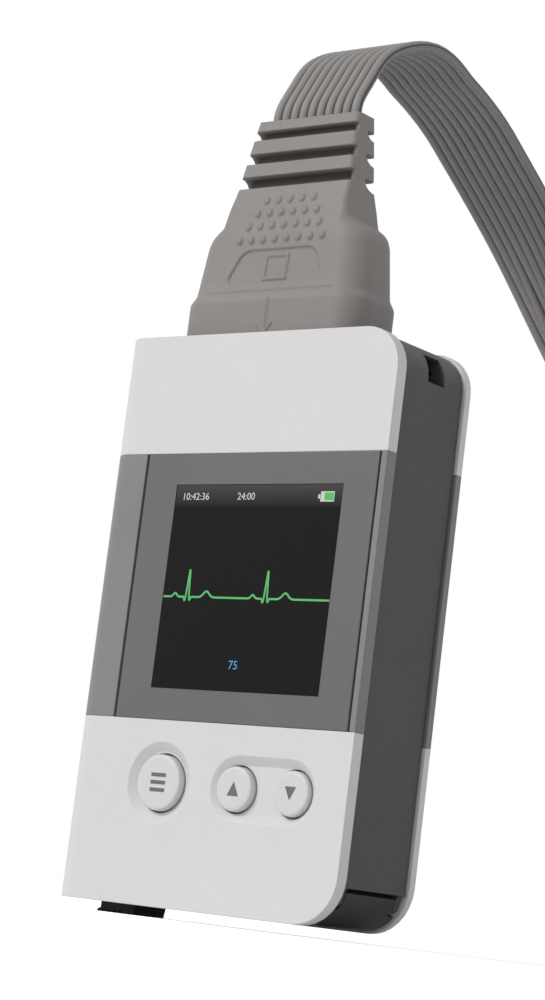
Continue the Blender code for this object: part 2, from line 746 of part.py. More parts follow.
def shell_plan():
    """The case's plan: front plate, rounded spine and rear plate in one C, open at the right."""
    outer_front = arc((SPINE_RADIUS, SPINE_RADIUS), SPINE_RADIUS, 270, -90, CORNER_STEPS)
    outer_rear = arc((SPINE_RADIUS, CASE_DEPTH - SPINE_RADIUS), SPINE_RADIUS, 180, -90, CORNER_STEPS)
    inner = INNER_SPINE_RADIUS
    rear_centre = (SPINE_WALL + inner, PLATE_REAR - inner)
    front_centre = (SPINE_WALL + inner, FRONT_PLATE + inner)
    inner_rear = arc(rear_centre, inner, 90, 90, CORNER_STEPS - 2)
    inner_front = arc(front_centre, inner, 180, 90, CORNER_STEPS - 2)
    right_rear = [(CASE_WIDTH, CASE_DEPTH), (CASE_WIDTH, PLATE_REAR)]
    right_front = [(CASE_WIDTH, FRONT_PLATE), (CASE_WIDTH, 0)]
    return outer_front + outer_rear + right_rear + inner_rear + inner_front + right_front


def shell_section(name, low, high):
    """One height of the case's shell, trimmed to the front outline."""
    body = prism(name, "Z", shell_plan(), low, high)
    return keep(body, prism("trim", "Y", case_outline(), -CUT_MARGIN, CASE_DEPTH + CUT_MARGIN))


def build_upper_cover():
    """The cover above the window."""
    return shell_section("upper_cover", BAND_TOP + SEAM_GAP, CASE_HEIGHT + CUT_MARGIN)


def build_middle_band():
    """The band that frames the display, with a shallow bed for the window and an opening through its web."""
    body = shell_section("middle_band", BAND_BOTTOM, BAND_TOP)
    bed_x = (WINDOW_LEFT - WINDOW_SEAM, CASE_WIDTH - WINDOW_RIGHT_MARGIN + WINDOW_SEAM)
    bed_z = (BAND_BOTTOM - CUT_MARGIN, BAND_TOP + CUT_MARGIN)
    bed = block("bed", bed_x, (-CUT_MARGIN, WINDOW_RECESS), bed_z)
    return cut(body, bed, block("opening", OPENING_X, (-CUT_MARGIN, FRONT_PLATE + CUT_MARGIN), OPENING_Z))


def stadium(half_span, radius, centre):
    """An outline with two round ends and straight sides."""
    right = arc((centre[0] + half_span, centre[1]), radius, 270, 180, 2 * CORNER_STEPS)
    left = arc((centre[0] - half_span, centre[1]), radius, 90, 180, 2 * CORNER_STEPS)
    return right + left


def key_places():
    """Name, x and cap radius of each key."""
    return (
        ("menu", MENU_X, MENU_CAP_RADIUS),
        ("up", UP_X, ARROW_CAP_RADIUS),
        ("down", DOWN_X, ARROW_CAP_RADIUS),
    )


def build_lower_cover():
    """The cover under the window, with the keys' sloping recesses and openings and the latch's keeper."""
    body = shell_section("lower_cover", -CUT_MARGIN, BAND_BOTTOM - SEAM_GAP)
    spread = DISH_SLOPE * CUT_MARGIN / DISH_DEPTH
    radii = (DISH_RADIUS + spread, DISH_RADIUS - DISH_SLOPE)
    cut(body, cone("dish", "Y", (MENU_X, KEY_HEIGHT), radii, (-CUT_MARGIN, DISH_DEPTH), FINE_STEPS))
    centre = (STADIUM_X, KEY_HEIGHT)
    wide = set_level("Y", stadium(STADIUM_HALF_SPAN, STADIUM_HALF_HEIGHT + spread, centre), -CUT_MARGIN)
    narrow = set_level("Y", stadium(STADIUM_HALF_SPAN, STADIUM_HALF_HEIGHT - DISH_SLOPE, centre), DISH_DEPTH)
    cut(body, loft("trough", [wide, narrow]))
    for name, x, radius in key_places():
        bore = radius + KEY_CLEARANCE
        depth = (-CUT_MARGIN, FRONT_PLATE + CUT_MARGIN)
        cut(body, disc(f"{name}_bore", "Y", (x, KEY_HEIGHT), bore, *depth, FINE_STEPS))
    return cut(body, latch_window("keeper", LATCH_NOSE - LATCH_TRAVEL - SNUG, SPINE_WALL + CUT_MARGIN))


def latch_window(name, left, right):
    """A cutter with room for the latch's nose."""
    z_range = (LATCH_PLATE_LOW - SNUG, LATCH_PLATE_LOW + LATCH_PLATE_THICKNESS + SNUG)
    return block(name, (left, right), (LATCH_PLATE_Y[0] - FIT, LATCH_PLATE_Y[1] + FIT), z_range)


def build_window():
    """The window plate in the band's bed."""
    x_range = (WINDOW_LEFT, CASE_WIDTH - WINDOW_RIGHT_MARGIN)
    z_range = (BAND_BOTTOM + SEAM_GAP, BAND_TOP - SEAM_GAP)
    return block("display_window", x_range, (WINDOW_SUNK, WINDOW_SUNK + WINDOW_THICKNESS), z_range)


def panel_ranges(grow):
    """The display panel's x and z ranges, grown by an allowance."""
    margin = PANEL_MARGIN + grow
    return (OPENING_X[0] - margin, OPENING_X[1] + margin), (OPENING_Z[0] - margin, OPENING_Z[1] + margin)


def build_display():
    """The display panel, the tray behind it and the frame round both."""
    x_range, z_range = panel_ranges(0)
    rear = CORE_FRONT + PANEL_THICKNESS
    block("display_panel", x_range, (CORE_FRONT, rear), z_range)
    tray_front = rear + SNUG
    tray_rear = tray_front + TRAY_THICKNESS
    tray = block("backlight_tray", x_range, (tray_front, tray_rear), z_range)
    inner_x, inner_z = panel_ranges(-TRAY_WALL)
    cut(tray, block("tray_hollow", inner_x, (tray_front - CUT_MARGIN, tray_rear - TRAY_WALL), inner_z))
    frame_x, frame_z = panel_ranges(FIT + FRAME_WALL)
    frame = block("display_frame", frame_x, (CORE_FRONT, tray_rear + SNUG), frame_z)
    hole_x, hole_z = panel_ranges(FIT)
    return cut(frame, block("frame_hole", hole_x, (CORE_FRONT - CUT_MARGIN, tray_rear + CUT_MARGIN), hole_z))


def build_board():
    """The main board, with clearance holes for its four screws."""
    outline = rounded(BOARD_LEFT, BOARD_RIGHT, BOARD_BOTTOM, BOARD_TOP, 4 * (BOARD_CORNER_RADIUS,))
    body = prism("main_board", "Y", outline, BOARD_FRONT, BOARD_REAR)
    depth = (BOARD_FRONT - CUT_MARGIN, BOARD_REAR + CUT_MARGIN)
    for place in SCREW_PLACES:
        cut(body, disc("board_hole", "Y", place, BOSS_HOLE_RADIUS, *depth, SMALL_STEPS))
    return body


def build_screws():
    """Four slotted screws through the board into the housing's bosses."""
    head_rear = BOARD_FRONT - SNUG / 2
    head_front = head_rear - SCREW_HEAD_HEIGHT
    tip = head_rear + SCREW_LENGTH
    profile = (
        (head_front, SCREW_HEAD_RADIUS - SCREW_SLOT_DEPTH),
        (head_front + SCREW_SLOT_DEPTH, SCREW_HEAD_RADIUS),
        (head_rear, SCREW_HEAD_RADIUS),
        (head_rear, SCREW_SHAFT_RADIUS),
        (tip - SCREW_SHAFT_RADIUS, SCREW_SHAFT_RADIUS),
        (tip, SCREW_SHAFT_RADIUS / 2),
    )
    for number, (x, z) in enumerate(SCREW_PLACES, start=1):
        screw = turned(f"board_screw_{number}", "Y", (x, z), profile, SMALL_STEPS)
        slot_x = (x - 2 * SCREW_HEAD_RADIUS, x + 2 * SCREW_HEAD_RADIUS)
        slot_z = (z - SCREW_SLOT_WIDTH / 2, z + SCREW_SLOT_WIDTH / 2)
        slot_y = (head_front - CUT_MARGIN, head_front + SCREW_SLOT_DEPTH)
        cut(screw, block("screw_slot", slot_x, slot_y, slot_z))


def on_board(shares):
    """A place on the board from shares of its width and height."""
    x = BOARD_LEFT + shares[0] * (BOARD_RIGHT - BOARD_LEFT)
    return x, BOARD_BOTTOM + shares[1] * (BOARD_TOP - BOARD_BOTTOM)


def build_board_parts():
    """The shield can, the processor, and the memory card in its socket, all behind the board."""
    front = BOARD_REAR + SNUG
    left, low = on_board((SHIELD_X_SHARES[0], SHIELD_Z_SHARES[0]))
    right, high = on_board((SHIELD_X_SHARES[1], SHIELD_Z_SHARES[1]))
    shield = block("front_end_shield", (left, right), (front, front + SHIELD_DEPTH), (low, high))
    inner_x = (left + SHIELD_WALL, right - SHIELD_WALL)
    inner_z = (low + SHIELD_WALL, high - SHIELD_WALL)
    inner_y = (front - CUT_MARGIN, front + SHIELD_DEPTH - SHIELD_WALL)
    cut(shield, block("shield_hollow", inner_x, inner_y, inner_z))
    x, z = on_board(CHIP_CORNER_SHARES)
    rear = front + CHIP_DEPTH
    chip = block("processor", (x, x + CHIP_SIDE), (front, rear), (z, z + CHIP_SIDE))
    dot = (x + 2 * CHIP_DOT_RADIUS, z + 2 * CHIP_DOT_RADIUS)
    cut(chip, disc("dot", "Y", dot, CHIP_DOT_RADIUS, rear - CHIP_DOT_DEPTH, rear + CUT_MARGIN, SMALL_STEPS))
    build_card(front)


def build_card(front):
    """The memory card, with its corner notch, in a socket that is open at the bottom."""
    wall = CARD_SOCKET_WALL
    socket_left, low = on_board(CARD_CORNER_SHARES)
    left = socket_left + wall + SNUG
    right = left + CARD_WIDTH
    high = low + CARD_LENGTH
    card_front = front + wall + SNUG
    card_rear = card_front + CARD_THICKNESS
    outline = [(left, low), (right, low), (right, high - CARD_NOTCH), (right - CARD_NOTCH, high), (left, high)]
    prism("memory_card", "Y", outline, card_front, card_rear)
    socket_x = (socket_left, right + SNUG + wall)
    socket_z = (low + CARD_SOCKET_RISE, high + SNUG + wall)
    socket = block("card_socket", socket_x, (front, card_rear + SNUG + wall), socket_z)
    room_x = (left - SNUG, right + SNUG)
    room_z = (low - CUT_MARGIN, high + SNUG)
    return cut(socket, block("card_room", room_x, (front + wall, card_rear + SNUG), room_z))


def build_keys():
    """Three turned caps, each with a flange behind the cover and a stem towards its switch."""
    flange = CORE_FRONT + KEY_FLANGE_THICKNESS
    switch_rear = BOARD_FRONT - SNUG
    switch_front = switch_rear - SWITCH_BODY
    for name, x, radius in key_places():
        place = (x, KEY_HEIGHT)
        profile = (
            (-KEY_PROUD, radius - KEY_EDGE),
            (-KEY_PROUD + KEY_EDGE / 4, radius - KEY_EDGE / 4),
            (-KEY_PROUD + KEY_EDGE, radius),
            (CORE_FRONT, radius),
            (CORE_FRONT, radius + KEY_FLANGE_RIM),
            (flange, radius + KEY_FLANGE_RIM),
            (flange, KEY_STEM_RADIUS),
            (flange + KEY_STEM_LENGTH, KEY_STEM_RADIUS),
        )
        turned(f"{name}_key", "Y", place, profile, FINE_STEPS)
        x_range = (x - SWITCH_SIDE / 2, x + SWITCH_SIDE / 2)
        z_range = (KEY_HEIGHT - SWITCH_SIDE / 2, KEY_HEIGHT + SWITCH_SIDE / 2)
        switch = block(f"{name}_switch", x_range, (switch_front, switch_rear), z_range)
        dome = (switch_front - SWITCH_BUTTON, switch_rear - LAP)
        join(switch, disc(f"{name}_dome", "Y", place, SWITCH_BUTTON_RADIUS, *dome, SMALL_STEPS))


def hinge_disc(name, radius, front, rear):
    """A cylinder on the door hinge's axis."""
    return disc(name, "Y", (HINGE_X, HINGE_Z), radius, front, rear)


def build_core():
    """The inner housing: a tray open to the front, with a shelf over the battery bay and four board bosses."""
    radii = (0, 0, CORE_TOP_RADIUS, LEFT_CORNER_RADIUS)
    outline = rounded(CORE_LEFT, CORE_RIGHT, CORE_BOTTOM, CORE_TOP, radii)
    core = prism("core_housing", "Y", outline, CORE_FRONT, CORE_REAR)
    cut(core, prism("core_hollow", "Y", hollow_outline(), CORE_FRONT - CUT_MARGIN, CORE_BED))
    inner_right = CORE_RIGHT - CORE_WALL
    shelf_z = (SHELF_BOTTOM, SHELF_BOTTOM + SHELF_THICKNESS)
    shelf_x = (CORE_LEFT + CORE_WALL - LAP, inner_right + LAP)
    join(core, block("shelf", shelf_x, (SHELF_FRONT, CORE_BED + LAP), shelf_z))
    pad_z = (CORE_BOTTOM + LAP, SHELF_BOTTOM + SHELF_THICKNESS / 2)
    pad_x = (inner_right - CONTACT_PAD_DEPTH, inner_right + LAP)
    join(core, block("pad", pad_x, (CORE_FRONT + LAP, CORE_BED + LAP), pad_z))
    for place in SCREW_PLACES:
        join(core, disc("boss", "Y", place, BOSS_RADIUS, BOARD_REAR + SNUG, CORE_BED + LAP, SMALL_STEPS))
    deep = BOARD_FRONT + SCREW_LENGTH + FIT
    for place in SCREW_PLACES:
        cut(core, disc("boss_hole", "Y", place, BOSS_HOLE_RADIUS, BOARD_REAR - CUT_MARGIN, deep, SMALL_STEPS))
    cut_socket_and_lanyard(core)
    ears = ear_ranges()
    cut(core, hinge_disc("barrel_room", HINGE_RELIEF_RADIUS, ears[0][1] - SNUG / 2, ears[1][0] + SNUG / 2))
    for front, rear in ears:
        ear = hinge_disc("ear", EAR_RADIUS, front, rear)
        neck_z = (HINGE_Z, HINGE_Z + EAR_RISE)
        join(ear, block("ear_neck", (HINGE_X - EAR_RADIUS, HINGE_X + EAR_RADIUS), (front, rear), neck_z))
        keep(ear, prism("ear_trim", "Y", door_outline(0), CORE_FRONT, CORE_REAR))
        join(core, ear)
    return cut(core, hinge_disc("pin_bore", PIN_HOLE_RADIUS, CORE_FRONT - CUT_MARGIN, CORE_REAR + CUT_MARGIN))


def hollow_outline():
    """The outline of the housing's hollow, with a solid block left at the lanyard's corner."""
    left = CORE_LEFT + CORE_WALL
    right = CORE_RIGHT - CORE_WALL
    top = CORE_TOP - CORE_WALL
    low = CORE_BOTTOM - CUT_MARGIN
    block_left = CORE_RIGHT - CORNER_BLOCK_WIDTH
    block_low = CORE_TOP - CORNER_BLOCK_HEIGHT
    below = [(left, low), (right, low), (right, block_low), (block_left, block_low)]
    return [*below, (block_left, top), (left, top)]


def ear_ranges():
    """Front and rear of the two hinge ears, one just in front of the barrel and one just behind it."""
    front = BARREL_FRONT - FIT
    rear = BARREL_REAR + FIT
    return ((front - EAR_THICKNESS, front), (rear, rear + EAR_THICKNESS))


def cut_socket_and_lanyard(core):
    """The slot for the patient socket in the housing's top, and the lanyard's pocket and bar hole."""
    slot_x = (PLUG_X - SOCKET_HALF_WIDTH - FIT, PLUG_X + SOCKET_HALF_WIDTH + FIT)
    slot_y = (PLUG_Y - SOCKET_HALF_DEPTH - FIT, PLUG_Y + SOCKET_HALF_DEPTH + FIT)
    cut(core, block("socket_slot", slot_x, slot_y, (CORE_TOP - 2 * CORE_WALL, CORE_TOP + CUT_MARGIN)))
    pocket_x = (CORE_RIGHT - LANYARD_POCKET_DEPTH, CORE_RIGHT + CUT_MARGIN)
    pocket_y = (LANYARD_POCKET_FRONT, LANYARD_POCKET_FRONT + LANYARD_POCKET_WIDTH)
    pocket_z = (LANYARD_Z - LANYARD_POCKET_HALF_HEIGHT, LANYARD_Z + LANYARD_POCKET_HALF_HEIGHT)
    cut(core, block("pocket", pocket_x, pocket_y, pocket_z))
    bar = (CORE_FRONT - CUT_MARGIN, LANYARD_BAR_REAR + SNUG)
    return cut(core, disc("bar_hole", "Y", (LANYARD_X, LANYARD_Z), LANYARD_HOLE_RADIUS, *bar, SMALL_STEPS))


def build_lanyard_bar():
    """The bar that a lanyard loops round, pressed in from the front."""
    bar = (CORE_FRONT + SNUG, LANYARD_BAR_REAR)
    return disc("lanyard_bar", "Y", (LANYARD_X, LANYARD_Z), LANYARD_BAR_RADIUS, *bar, SMALL_STEPS)


def build_cell():
    """The cell, lying along its bay with the nub to the right."""
    groove = CELL_RIGHT - CELL_GROOVE_PLACE
    nub = CELL_RADIUS * CELL_NUB_SHARE
    profile = (
        (CELL_LEFT, CELL_RADIUS - CELL_EDGE),
        (CELL_LEFT + CELL_EDGE, CELL_RADIUS),
        (groove - CELL_EDGE, CELL_RADIUS),
        (groove, CELL_RADIUS - CELL_GROOVE),
        (groove + CELL_EDGE, CELL_RADIUS),
        (CELL_RIGHT - CELL_EDGE, CELL_RADIUS),
        (CELL_RIGHT, CELL_RADIUS - CELL_EDGE),
        (CELL_RIGHT, nub),
        (CELL_RIGHT + CELL_NUB, nub),
    )
    return turned("battery_cell", "X", (CELL_Y, CELL_Z), profile, ROUND_STEPS)


def about_cell(half):
    """y and z ranges of a square about the cell's axis."""
    return (CELL_Y - half, CELL_Y + half), (CELL_Z - half, CELL_Z + half)


def build_contacts():
    """The spring at the cell's flat end, wound in real turns, and the plate at its nub."""
    left = CORE_LEFT + CORE_WALL + SNUG
    start = left + SPRING_PLATE
    end = CELL_LEFT - SNUG - SPRING_WIRE / 2
    plate = about_cell(CELL_RADIUS * SPRING_PLATE_SHARE)
    spring = block("battery_spring", (left, start), *plate)
    t = np.linspace(0, 1, int(SPRING_TURNS * TURN_STEPS) + 1)
    radius = CELL_RADIUS * (SPRING_WIDE_SHARE + (SPRING_NARROW_SHARE - SPRING_WIDE_SHARE) * t)
    turn = 2 * math.pi * SPRING_TURNS * t
    spring_y = CELL_Y + radius * np.cos(turn)
    spring_z = CELL_Z + radius * np.sin(turn)
    route = np.stack([start + (end - start) * t, spring_y, spring_z], axis=1)
    join(spring, made_solid(tube("spring_wire", route, SPRING_WIRE / 2, WIRE_BEVEL_STEPS)))
    right = CORE_RIGHT - CORE_WALL - CONTACT_PAD_DEPTH - SNUG
    contact = about_cell(CELL_RADIUS * PLATE_CONTACT_SHARE)
    block("battery_plate", (right - PLATE_CONTACT_THICKNESS, right), *contact)


def door_outline(inset):
    """The door's front outline with its large corner; it runs on upwards past the door's top."""
    radii = (max(DOOR_LEFT_RADIUS - inset, 0), DOOR_CORNER_RADIUS - inset, 0, 0)
    top = DOOR_BOTTOM + 2 * DOOR_CORNER_RADIUS
    return rounded(DOOR_LEFT + inset, CORE_RIGHT - inset, DOOR_BOTTOM + inset, top, radii)


def build_door():
    """The battery door: a tray with a hinge barrel, a slot for the latch and a hole for its nose."""
    door = prism("battery_door", "Y", door_outline(0), CORE_FRONT, CORE_REAR)
    hollow_y = (CORE_FRONT + DOOR_WALL, CORE_REAR - DOOR_WALL)
    cut(door, prism("door_hollow", "Y", door_outline(DOOR_FLOOR), *hollow_y))
    above = (DOOR_TOP, DOOR_BOTTOM + 3 * DOOR_CORNER_RADIUS)
    cut(door, block("above", (-CUT_MARGIN, CASE_WIDTH + CUT_MARGIN), (0, CASE_DEPTH), above))
    for front, rear in ((0, BARREL_FRONT - SNUG / 2), (BARREL_REAR + SNUG / 2, CASE_DEPTH)):
        cut(door, hinge_disc("ear_room", HINGE_RELIEF_RADIUS, front, rear))
    join(door, hinge_disc("barrel", BARREL_RADIUS, BARREL_FRONT, BARREL_REAR))
    cut(door, hinge_disc("barrel_bore", PIN_HOLE_RADIUS, CORE_FRONT, CORE_REAR))
    neck_x = (LATCH_NECK_LEFT - LATCH_TRAVEL - SNUG, LATCH_NECK_LEFT + LATCH_NECK_LENGTH + SNUG)
    half = LATCH_NECK_WIDTH / 2 + SNUG
    slot_z = (DOOR_BOTTOM - CUT_MARGIN, DOOR_BOTTOM + DOOR_FLOOR + CUT_MARGIN)
    cut(door, block("latch_slot", neck_x, (LATCH_MIDDLE - half, LATCH_MIDDLE + half), slot_z))
    cut(door, latch_window("nose_hole", 0, DOOR_LEFT + DOOR_WALL + CUT_MARGIN))
    hang_on(door, (HINGE_X, (BARREL_FRONT + BARREL_REAR) / 2, HINGE_Z))
    return door


def build_hinge_pin():
    """The pin through both ears and the barrel."""
    (front, _), (_, rear) = ear_ranges()
    return disc("door_hinge_pin", "Y", (HINGE_X, HINGE_Z), PIN_RADIUS, front, rear, SMALL_STEPS)


def latch_outline():
    """The latch knob seen from the front: a lip at the left, a slight slant at the right."""
    top = DOOR_BOTTOM - SNUG
    right = LATCH_LEFT + LATCH_LENGTH
    lip = LATCH_LEFT - LATCH_LIP
    lip_edge = [(LATCH_LEFT, top), (LATCH_LEFT, FLOOR + LATCH_LIP), (lip, FLOOR + LATCH_LIP / 2), (lip, FLOOR)]
    return [*lip_edge, (right - LATCH_SLANT, FLOOR), (right, top)]


def build_latch():
    """The door's sliding latch: toothed knob, neck through the door's floor, plate with a nose above."""
    half = LATCH_WIDTH / 2
    latch = prism("door_latch", "Y", latch_outline(), LATCH_MIDDLE - half, LATCH_MIDDLE + half)
    for tooth in range(LATCH_TEETH):
        x = LATCH_LEFT - LATCH_LIP + (tooth + 1) * LATCH_TOOTH_PITCH
        groove_y = (LATCH_MIDDLE - half - CUT_MARGIN, LATCH_MIDDLE + half + CUT_MARGIN)
        groove_z = (FLOOR - CUT_MARGIN, FLOOR + LATCH_TOOTH)
        cut(latch, block("tooth_gap", (x, x + LATCH_TOOTH_PITCH / 2), groove_y, groove_z))
    plate_z = (LATCH_PLATE_LOW, LATCH_PLATE_LOW + LATCH_PLATE_THICKNESS)
    neck_x = (LATCH_NECK_LEFT, LATCH_NECK_LEFT + LATCH_NECK_LENGTH)
    neck_y = (LATCH_MIDDLE - LATCH_NECK_WIDTH / 2, LATCH_MIDDLE + LATCH_NECK_WIDTH / 2)
    neck_z = (DOOR_BOTTOM - SNUG - LAP, LATCH_PLATE_LOW + LATCH_PLATE_THICKNESS / 2)
    join(latch, block("latch_neck", neck_x, neck_y, neck_z))
    join(latch, block("latch_plate", (LATCH_NOSE, LATCH_PLATE_RIGHT), LATCH_PLATE_Y, plate_z))
    hang_on(latch, (LATCH_LEFT, LATCH_MIDDLE, LATCH_PLATE_LOW))
    return latch


def about_plug(half_width, half_depth):
    """x and y ranges about the plug's axis."""
    return (PLUG_X - half_width, PLUG_X + half_width), (PLUG_Y - half_depth, PLUG_Y + half_depth)


def build_socket():
    """The patient socket in the recorder's top, with the tongue that carries its contacts."""
    top = CORE_TOP - SOCKET_SUNK
    floor = SOCKET_BOTTOM + SOCKET_FLOOR
    socket = block("patient_socket", *about_plug(SOCKET_HALF_WIDTH, SOCKET_HALF_DEPTH), (SOCKET_BOTTOM, top))
    inner = about_plug(SOCKET_HALF_WIDTH - SOCKET_WALL, SOCKET_HALF_DEPTH - SOCKET_SIDE_WALL)
    cut(socket, block("socket_hollow", *inner, (floor, top + CUT_MARGIN)))
    tongue = about_plug(TONGUE_HALF_WIDTH, TONGUE_HALF_DEPTH)
    return join(socket, block("tongue", *tongue, (floor - LAP, floor + TONGUE_LENGTH)))


def build_insert():
    """The plug's insert, slotted to go over the socket's tongue and seated in the overmould."""
    floor = SOCKET_BOTTOM + SOCKET_FLOOR
    low = floor + INSERT_BOTTOM_GAP
    body = about_plug(INSERT_HALF_WIDTH, INSERT_HALF_DEPTH)
    insert = block("plug_insert", *body, (low, PLUG_BOTTOM + INSERT_SEAT))
    slot = about_plug(TONGUE_HALF_WIDTH + INSERT_CLEARANCE, TONGUE_HALF_DEPTH + INSERT_CLEARANCE)
    return cut(insert, block("tongue_slot", *slot, (low - CUT_MARGIN, floor + TONGUE_LENGTH + FIT)))


def plug_half(height, column):
    """The overmould's half width (column 1) or half depth (column 2) at a height, from its rings."""
    levels = [PLUG_BOTTOM + ring[0] * PLUG_HEIGHT for ring in PLUG_SHARES]
    size = PLUG_HALF_WIDTH if column == 1 else PLUG_HALF_DEPTH
    return float(np.interp(height, levels, [ring[column] * size for ring in PLUG_SHARES]))


def plug_ring(height, width, depth, corner):
    """One ring of the overmould, from its shares."""
    half_depth = depth * PLUG_HALF_DEPTH
    x_range, y_range = about_plug(width * PLUG_HALF_WIDTH, half_depth)
    outline = rounded(*x_range, *y_range, 4 * (corner * half_depth,), PLUG_CORNER_STEPS)
    return set_level("Z", outline, PLUG_BOTTOM + height * PLUG_HEIGHT)


def slope_slab(name, outline, outside, inside):
    """A slab that follows the overmould's sloping front: (x, z) corners, from outside it to inside it."""
    fronts = [PLUG_Y - plug_half(z, 2) for x, z in outline]
    outer = [(x, front - outside, z) for (x, z), front in zip(outline, fronts)]
    inner = [(x, front + inside, z) for (x, z), front in zip(outline, fronts)]
    return loft(name, [outer, inner])


def cut_grooves(body):
    """The strain relief's grooves: each wraps one front corner, and its twin the corner across the plug."""
    for low_share, high_share in GROOVE_SHARES:
        z_range = (PLUG_BOTTOM + low_share * PLUG_HEIGHT, PLUG_BOTTOM + high_share * PLUG_HEIGHT)
        half_width = plug_half(z_range[0], 1)
        half_depth = plug_half(z_range[0], 2)
        outer = (-half_width - CUT_MARGIN, -half_depth - CUT_MARGIN)
        inner = (-half_width + GROOVE_DEPTH, -half_depth + GROOVE_DEPTH)
        column = half_width - GROOVE_COLUMN
        radius = GROOVE_END_RADIUS
        end = arc((column - radius, inner[1] - radius), radius, 0, 90, PLUG_CORNER_STEPS)
        outline = [outer, (column, outer[1]), *end, inner, (inner[0], 0), (outer[0], 0)]
        for side in (1, -1):
            points = [(PLUG_X + side * x, PLUG_Y + side * y) for x, y in outline]
            cut(body, prism("groove", "Z", points, *z_range))


def cut_panel(body):
    """The sunk panel on the sloping front, with a plain raised square line in it."""
    low, high = (PLUG_BOTTOM + PLUG_SHARES[k][0] * PLUG_HEIGHT for k in PANEL_RINGS)
    corners = [(PLUG_X + u * PLUG_HALF_WIDTH, low + v * (high - low)) for u, v in PANEL_CORNER_SHARES]
    outline = softened(corners, PANEL_CORNER_RADIUS, PLUG_CORNER_STEPS)
    panel = slope_slab("panel", outline, CUT_MARGIN, PANEL_RECESS)
    middle = low + BADGE_CENTRE_SHARE * (high - low)
    x_range = (PLUG_X - BADGE_HALF_WIDTH, PLUG_X + BADGE_HALF_WIDTH)
    outer = rectangle(*x_range, middle - BADGE_HALF_HEIGHT, middle + BADGE_HALF_HEIGHT)
    inner_x = (x_range[0] + BADGE_LINE, x_range[1] - BADGE_LINE)
    inner_z = (middle - BADGE_HALF_HEIGHT + BADGE_LINE, middle + BADGE_HALF_HEIGHT - BADGE_LINE)
    line = slope_slab("square", outer, BADGE_RISE - PANEL_RECESS, 2 * PANEL_RECESS)
    cut(line, slope_slab("square_hole", rectangle(*inner_x, *inner_z), CUT_MARGIN, 3 * PANEL_RECESS))
    cut(body, panel)
    return join(body, line)


def add_arrow(body):
    """The raised arrow on the overmould's flange, which points at the recorder."""
    tip = PLUG_BOTTOM + ARROW_TIP_SHARE * PLUG_HEIGHT
    wing = tip + ARROW_HEAD
    top = wing + ARROW_SHAFT
    half = ARROW_SHAFT_HALF
    shaft = ((half, wing), (half, top), (-half, top), (-half, wing))
    outline = [(0, tip), (ARROW_HALF, wing), *shaft, (-ARROW_HALF, wing)]
    points = [(PLUG_X + x, z) for x, z in outline]
    front = PLUG_Y - PLUG_HALF_DEPTH
    return join(body, prism("arrow", "Y", points, front - BADGE_RISE, front + LAP))


def add_bumps(body):
    """Rows of grip bumps: small balls sunk into the sloping front."""
    work = bmesh.new()
    for share, count in BUMP_ROW_SHARES:
        z = PLUG_BOTTOM + share * PLUG_HEIGHT
        y = PLUG_Y - plug_half(z, 2) + BUMP_SUNK
        for k in range(count):
            place = Vector((PLUG_X + (k - (count - 1) / 2) * BUMP_SPACING, y, z))
            turn = Matrix.Translation(place) @ Matrix.Rotation(math.pi / 2, 4, "X")
            bmesh.ops.create_uvsphere(work, u_segments=6, v_segments=4, radius=BUMP_RADIUS, matrix=turn)
    return join(body, add_piece("grip_bumps", mesh_of("grip_bumps", work)))


def build_overmould():
    """The plug's overmould: flange, body, grooved strain relief, sunk panel, arrow and grip bumps."""
    body = loft("plug_overmould", [plug_ring(*shares) for shares in PLUG_SHARES])
    seat = about_plug(INSERT_HALF_WIDTH + FIT, INSERT_HALF_DEPTH + FIT)
    cut(body, block("insert_seat", *seat, (PLUG_BOTTOM - CUT_MARGIN, PLUG_BOTTOM + INSERT_SEAT + FIT)))
    cut_grooves(body)
    cut_panel(body)
    add_arrow(body)
    return add_bumps(body)


def cable_way():
    """The middle of the cable from the plug to where the coil begins, as control points."""
    way = []
    for shift, run, rise in RIBBON_WAY_SHARES:
        height = rise * (RIBBON_RISE if rise > 0 else RIBBON_FALL)
        way.append((PLUG_X + shift * RIBBON_SHIFT, PLUG_Y + run * RIBBON_RUN, CABLE_START + height))
    return np.array(way)


def ribbon_section(roundness):
    """The cable's section as (side, up) points, from ten wires side by side (0) to one round bundle (1)."""
    radius = WIRE_DIAMETER / 2
    upper = []
    for wire in range(WIRE_COUNT):
        middle = (wire - (WIRE_COUNT - 1) / 2) * WIRE_DIAMETER
        upper.append((middle - radius, radius * VALLEY_SHARE if wire else 0.0))
        upper.append((middle, radius))
    flat = np.vstack([upper, -np.array(upper)])
    angles = math.pi - np.arange(len(flat)) * 2 * math.pi / len(flat)
    bundle = BUNDLE_DIAMETER / 2 * np.stack([np.cos(angles), np.sin(angles)], axis=1)
    return flat + roundness * (bundle - flat)


def build_ribbon():
    """The ten wires moulded side by side, gathering to a round bundle behind the recorder."""
    route = smooth(cable_way(), 1)
    tangents = np.gradient(route, axis=0)
    tangents = tangents / np.linalg.norm(tangents, axis=1)[:, None]
    sides = np.array((1.0, 0.0, 0.0)) - tangents * tangents[:, :1]
    sides = sides / np.linalg.norm(sides, axis=1)[:, None]
    ups = np.cross(sides, tangents)
    start, end = RIBBON_ROUNDING_SHARES
    run = (route[:, 1] - PLUG_Y) / RIBBON_RUN
    eased = np.clip((run - start) / (end - start), 0, 1)
    eased = eased * eased * (3 - 2 * eased)
    rings = []
    for point, side, up, roundness in zip(route, sides, ups, eased):
        section = ribbon_section(roundness)
        rings.append(point + np.outer(section[:, 0], side) + np.outer(section[:, 1], up))
    return loft("ribbon_cable", rings)


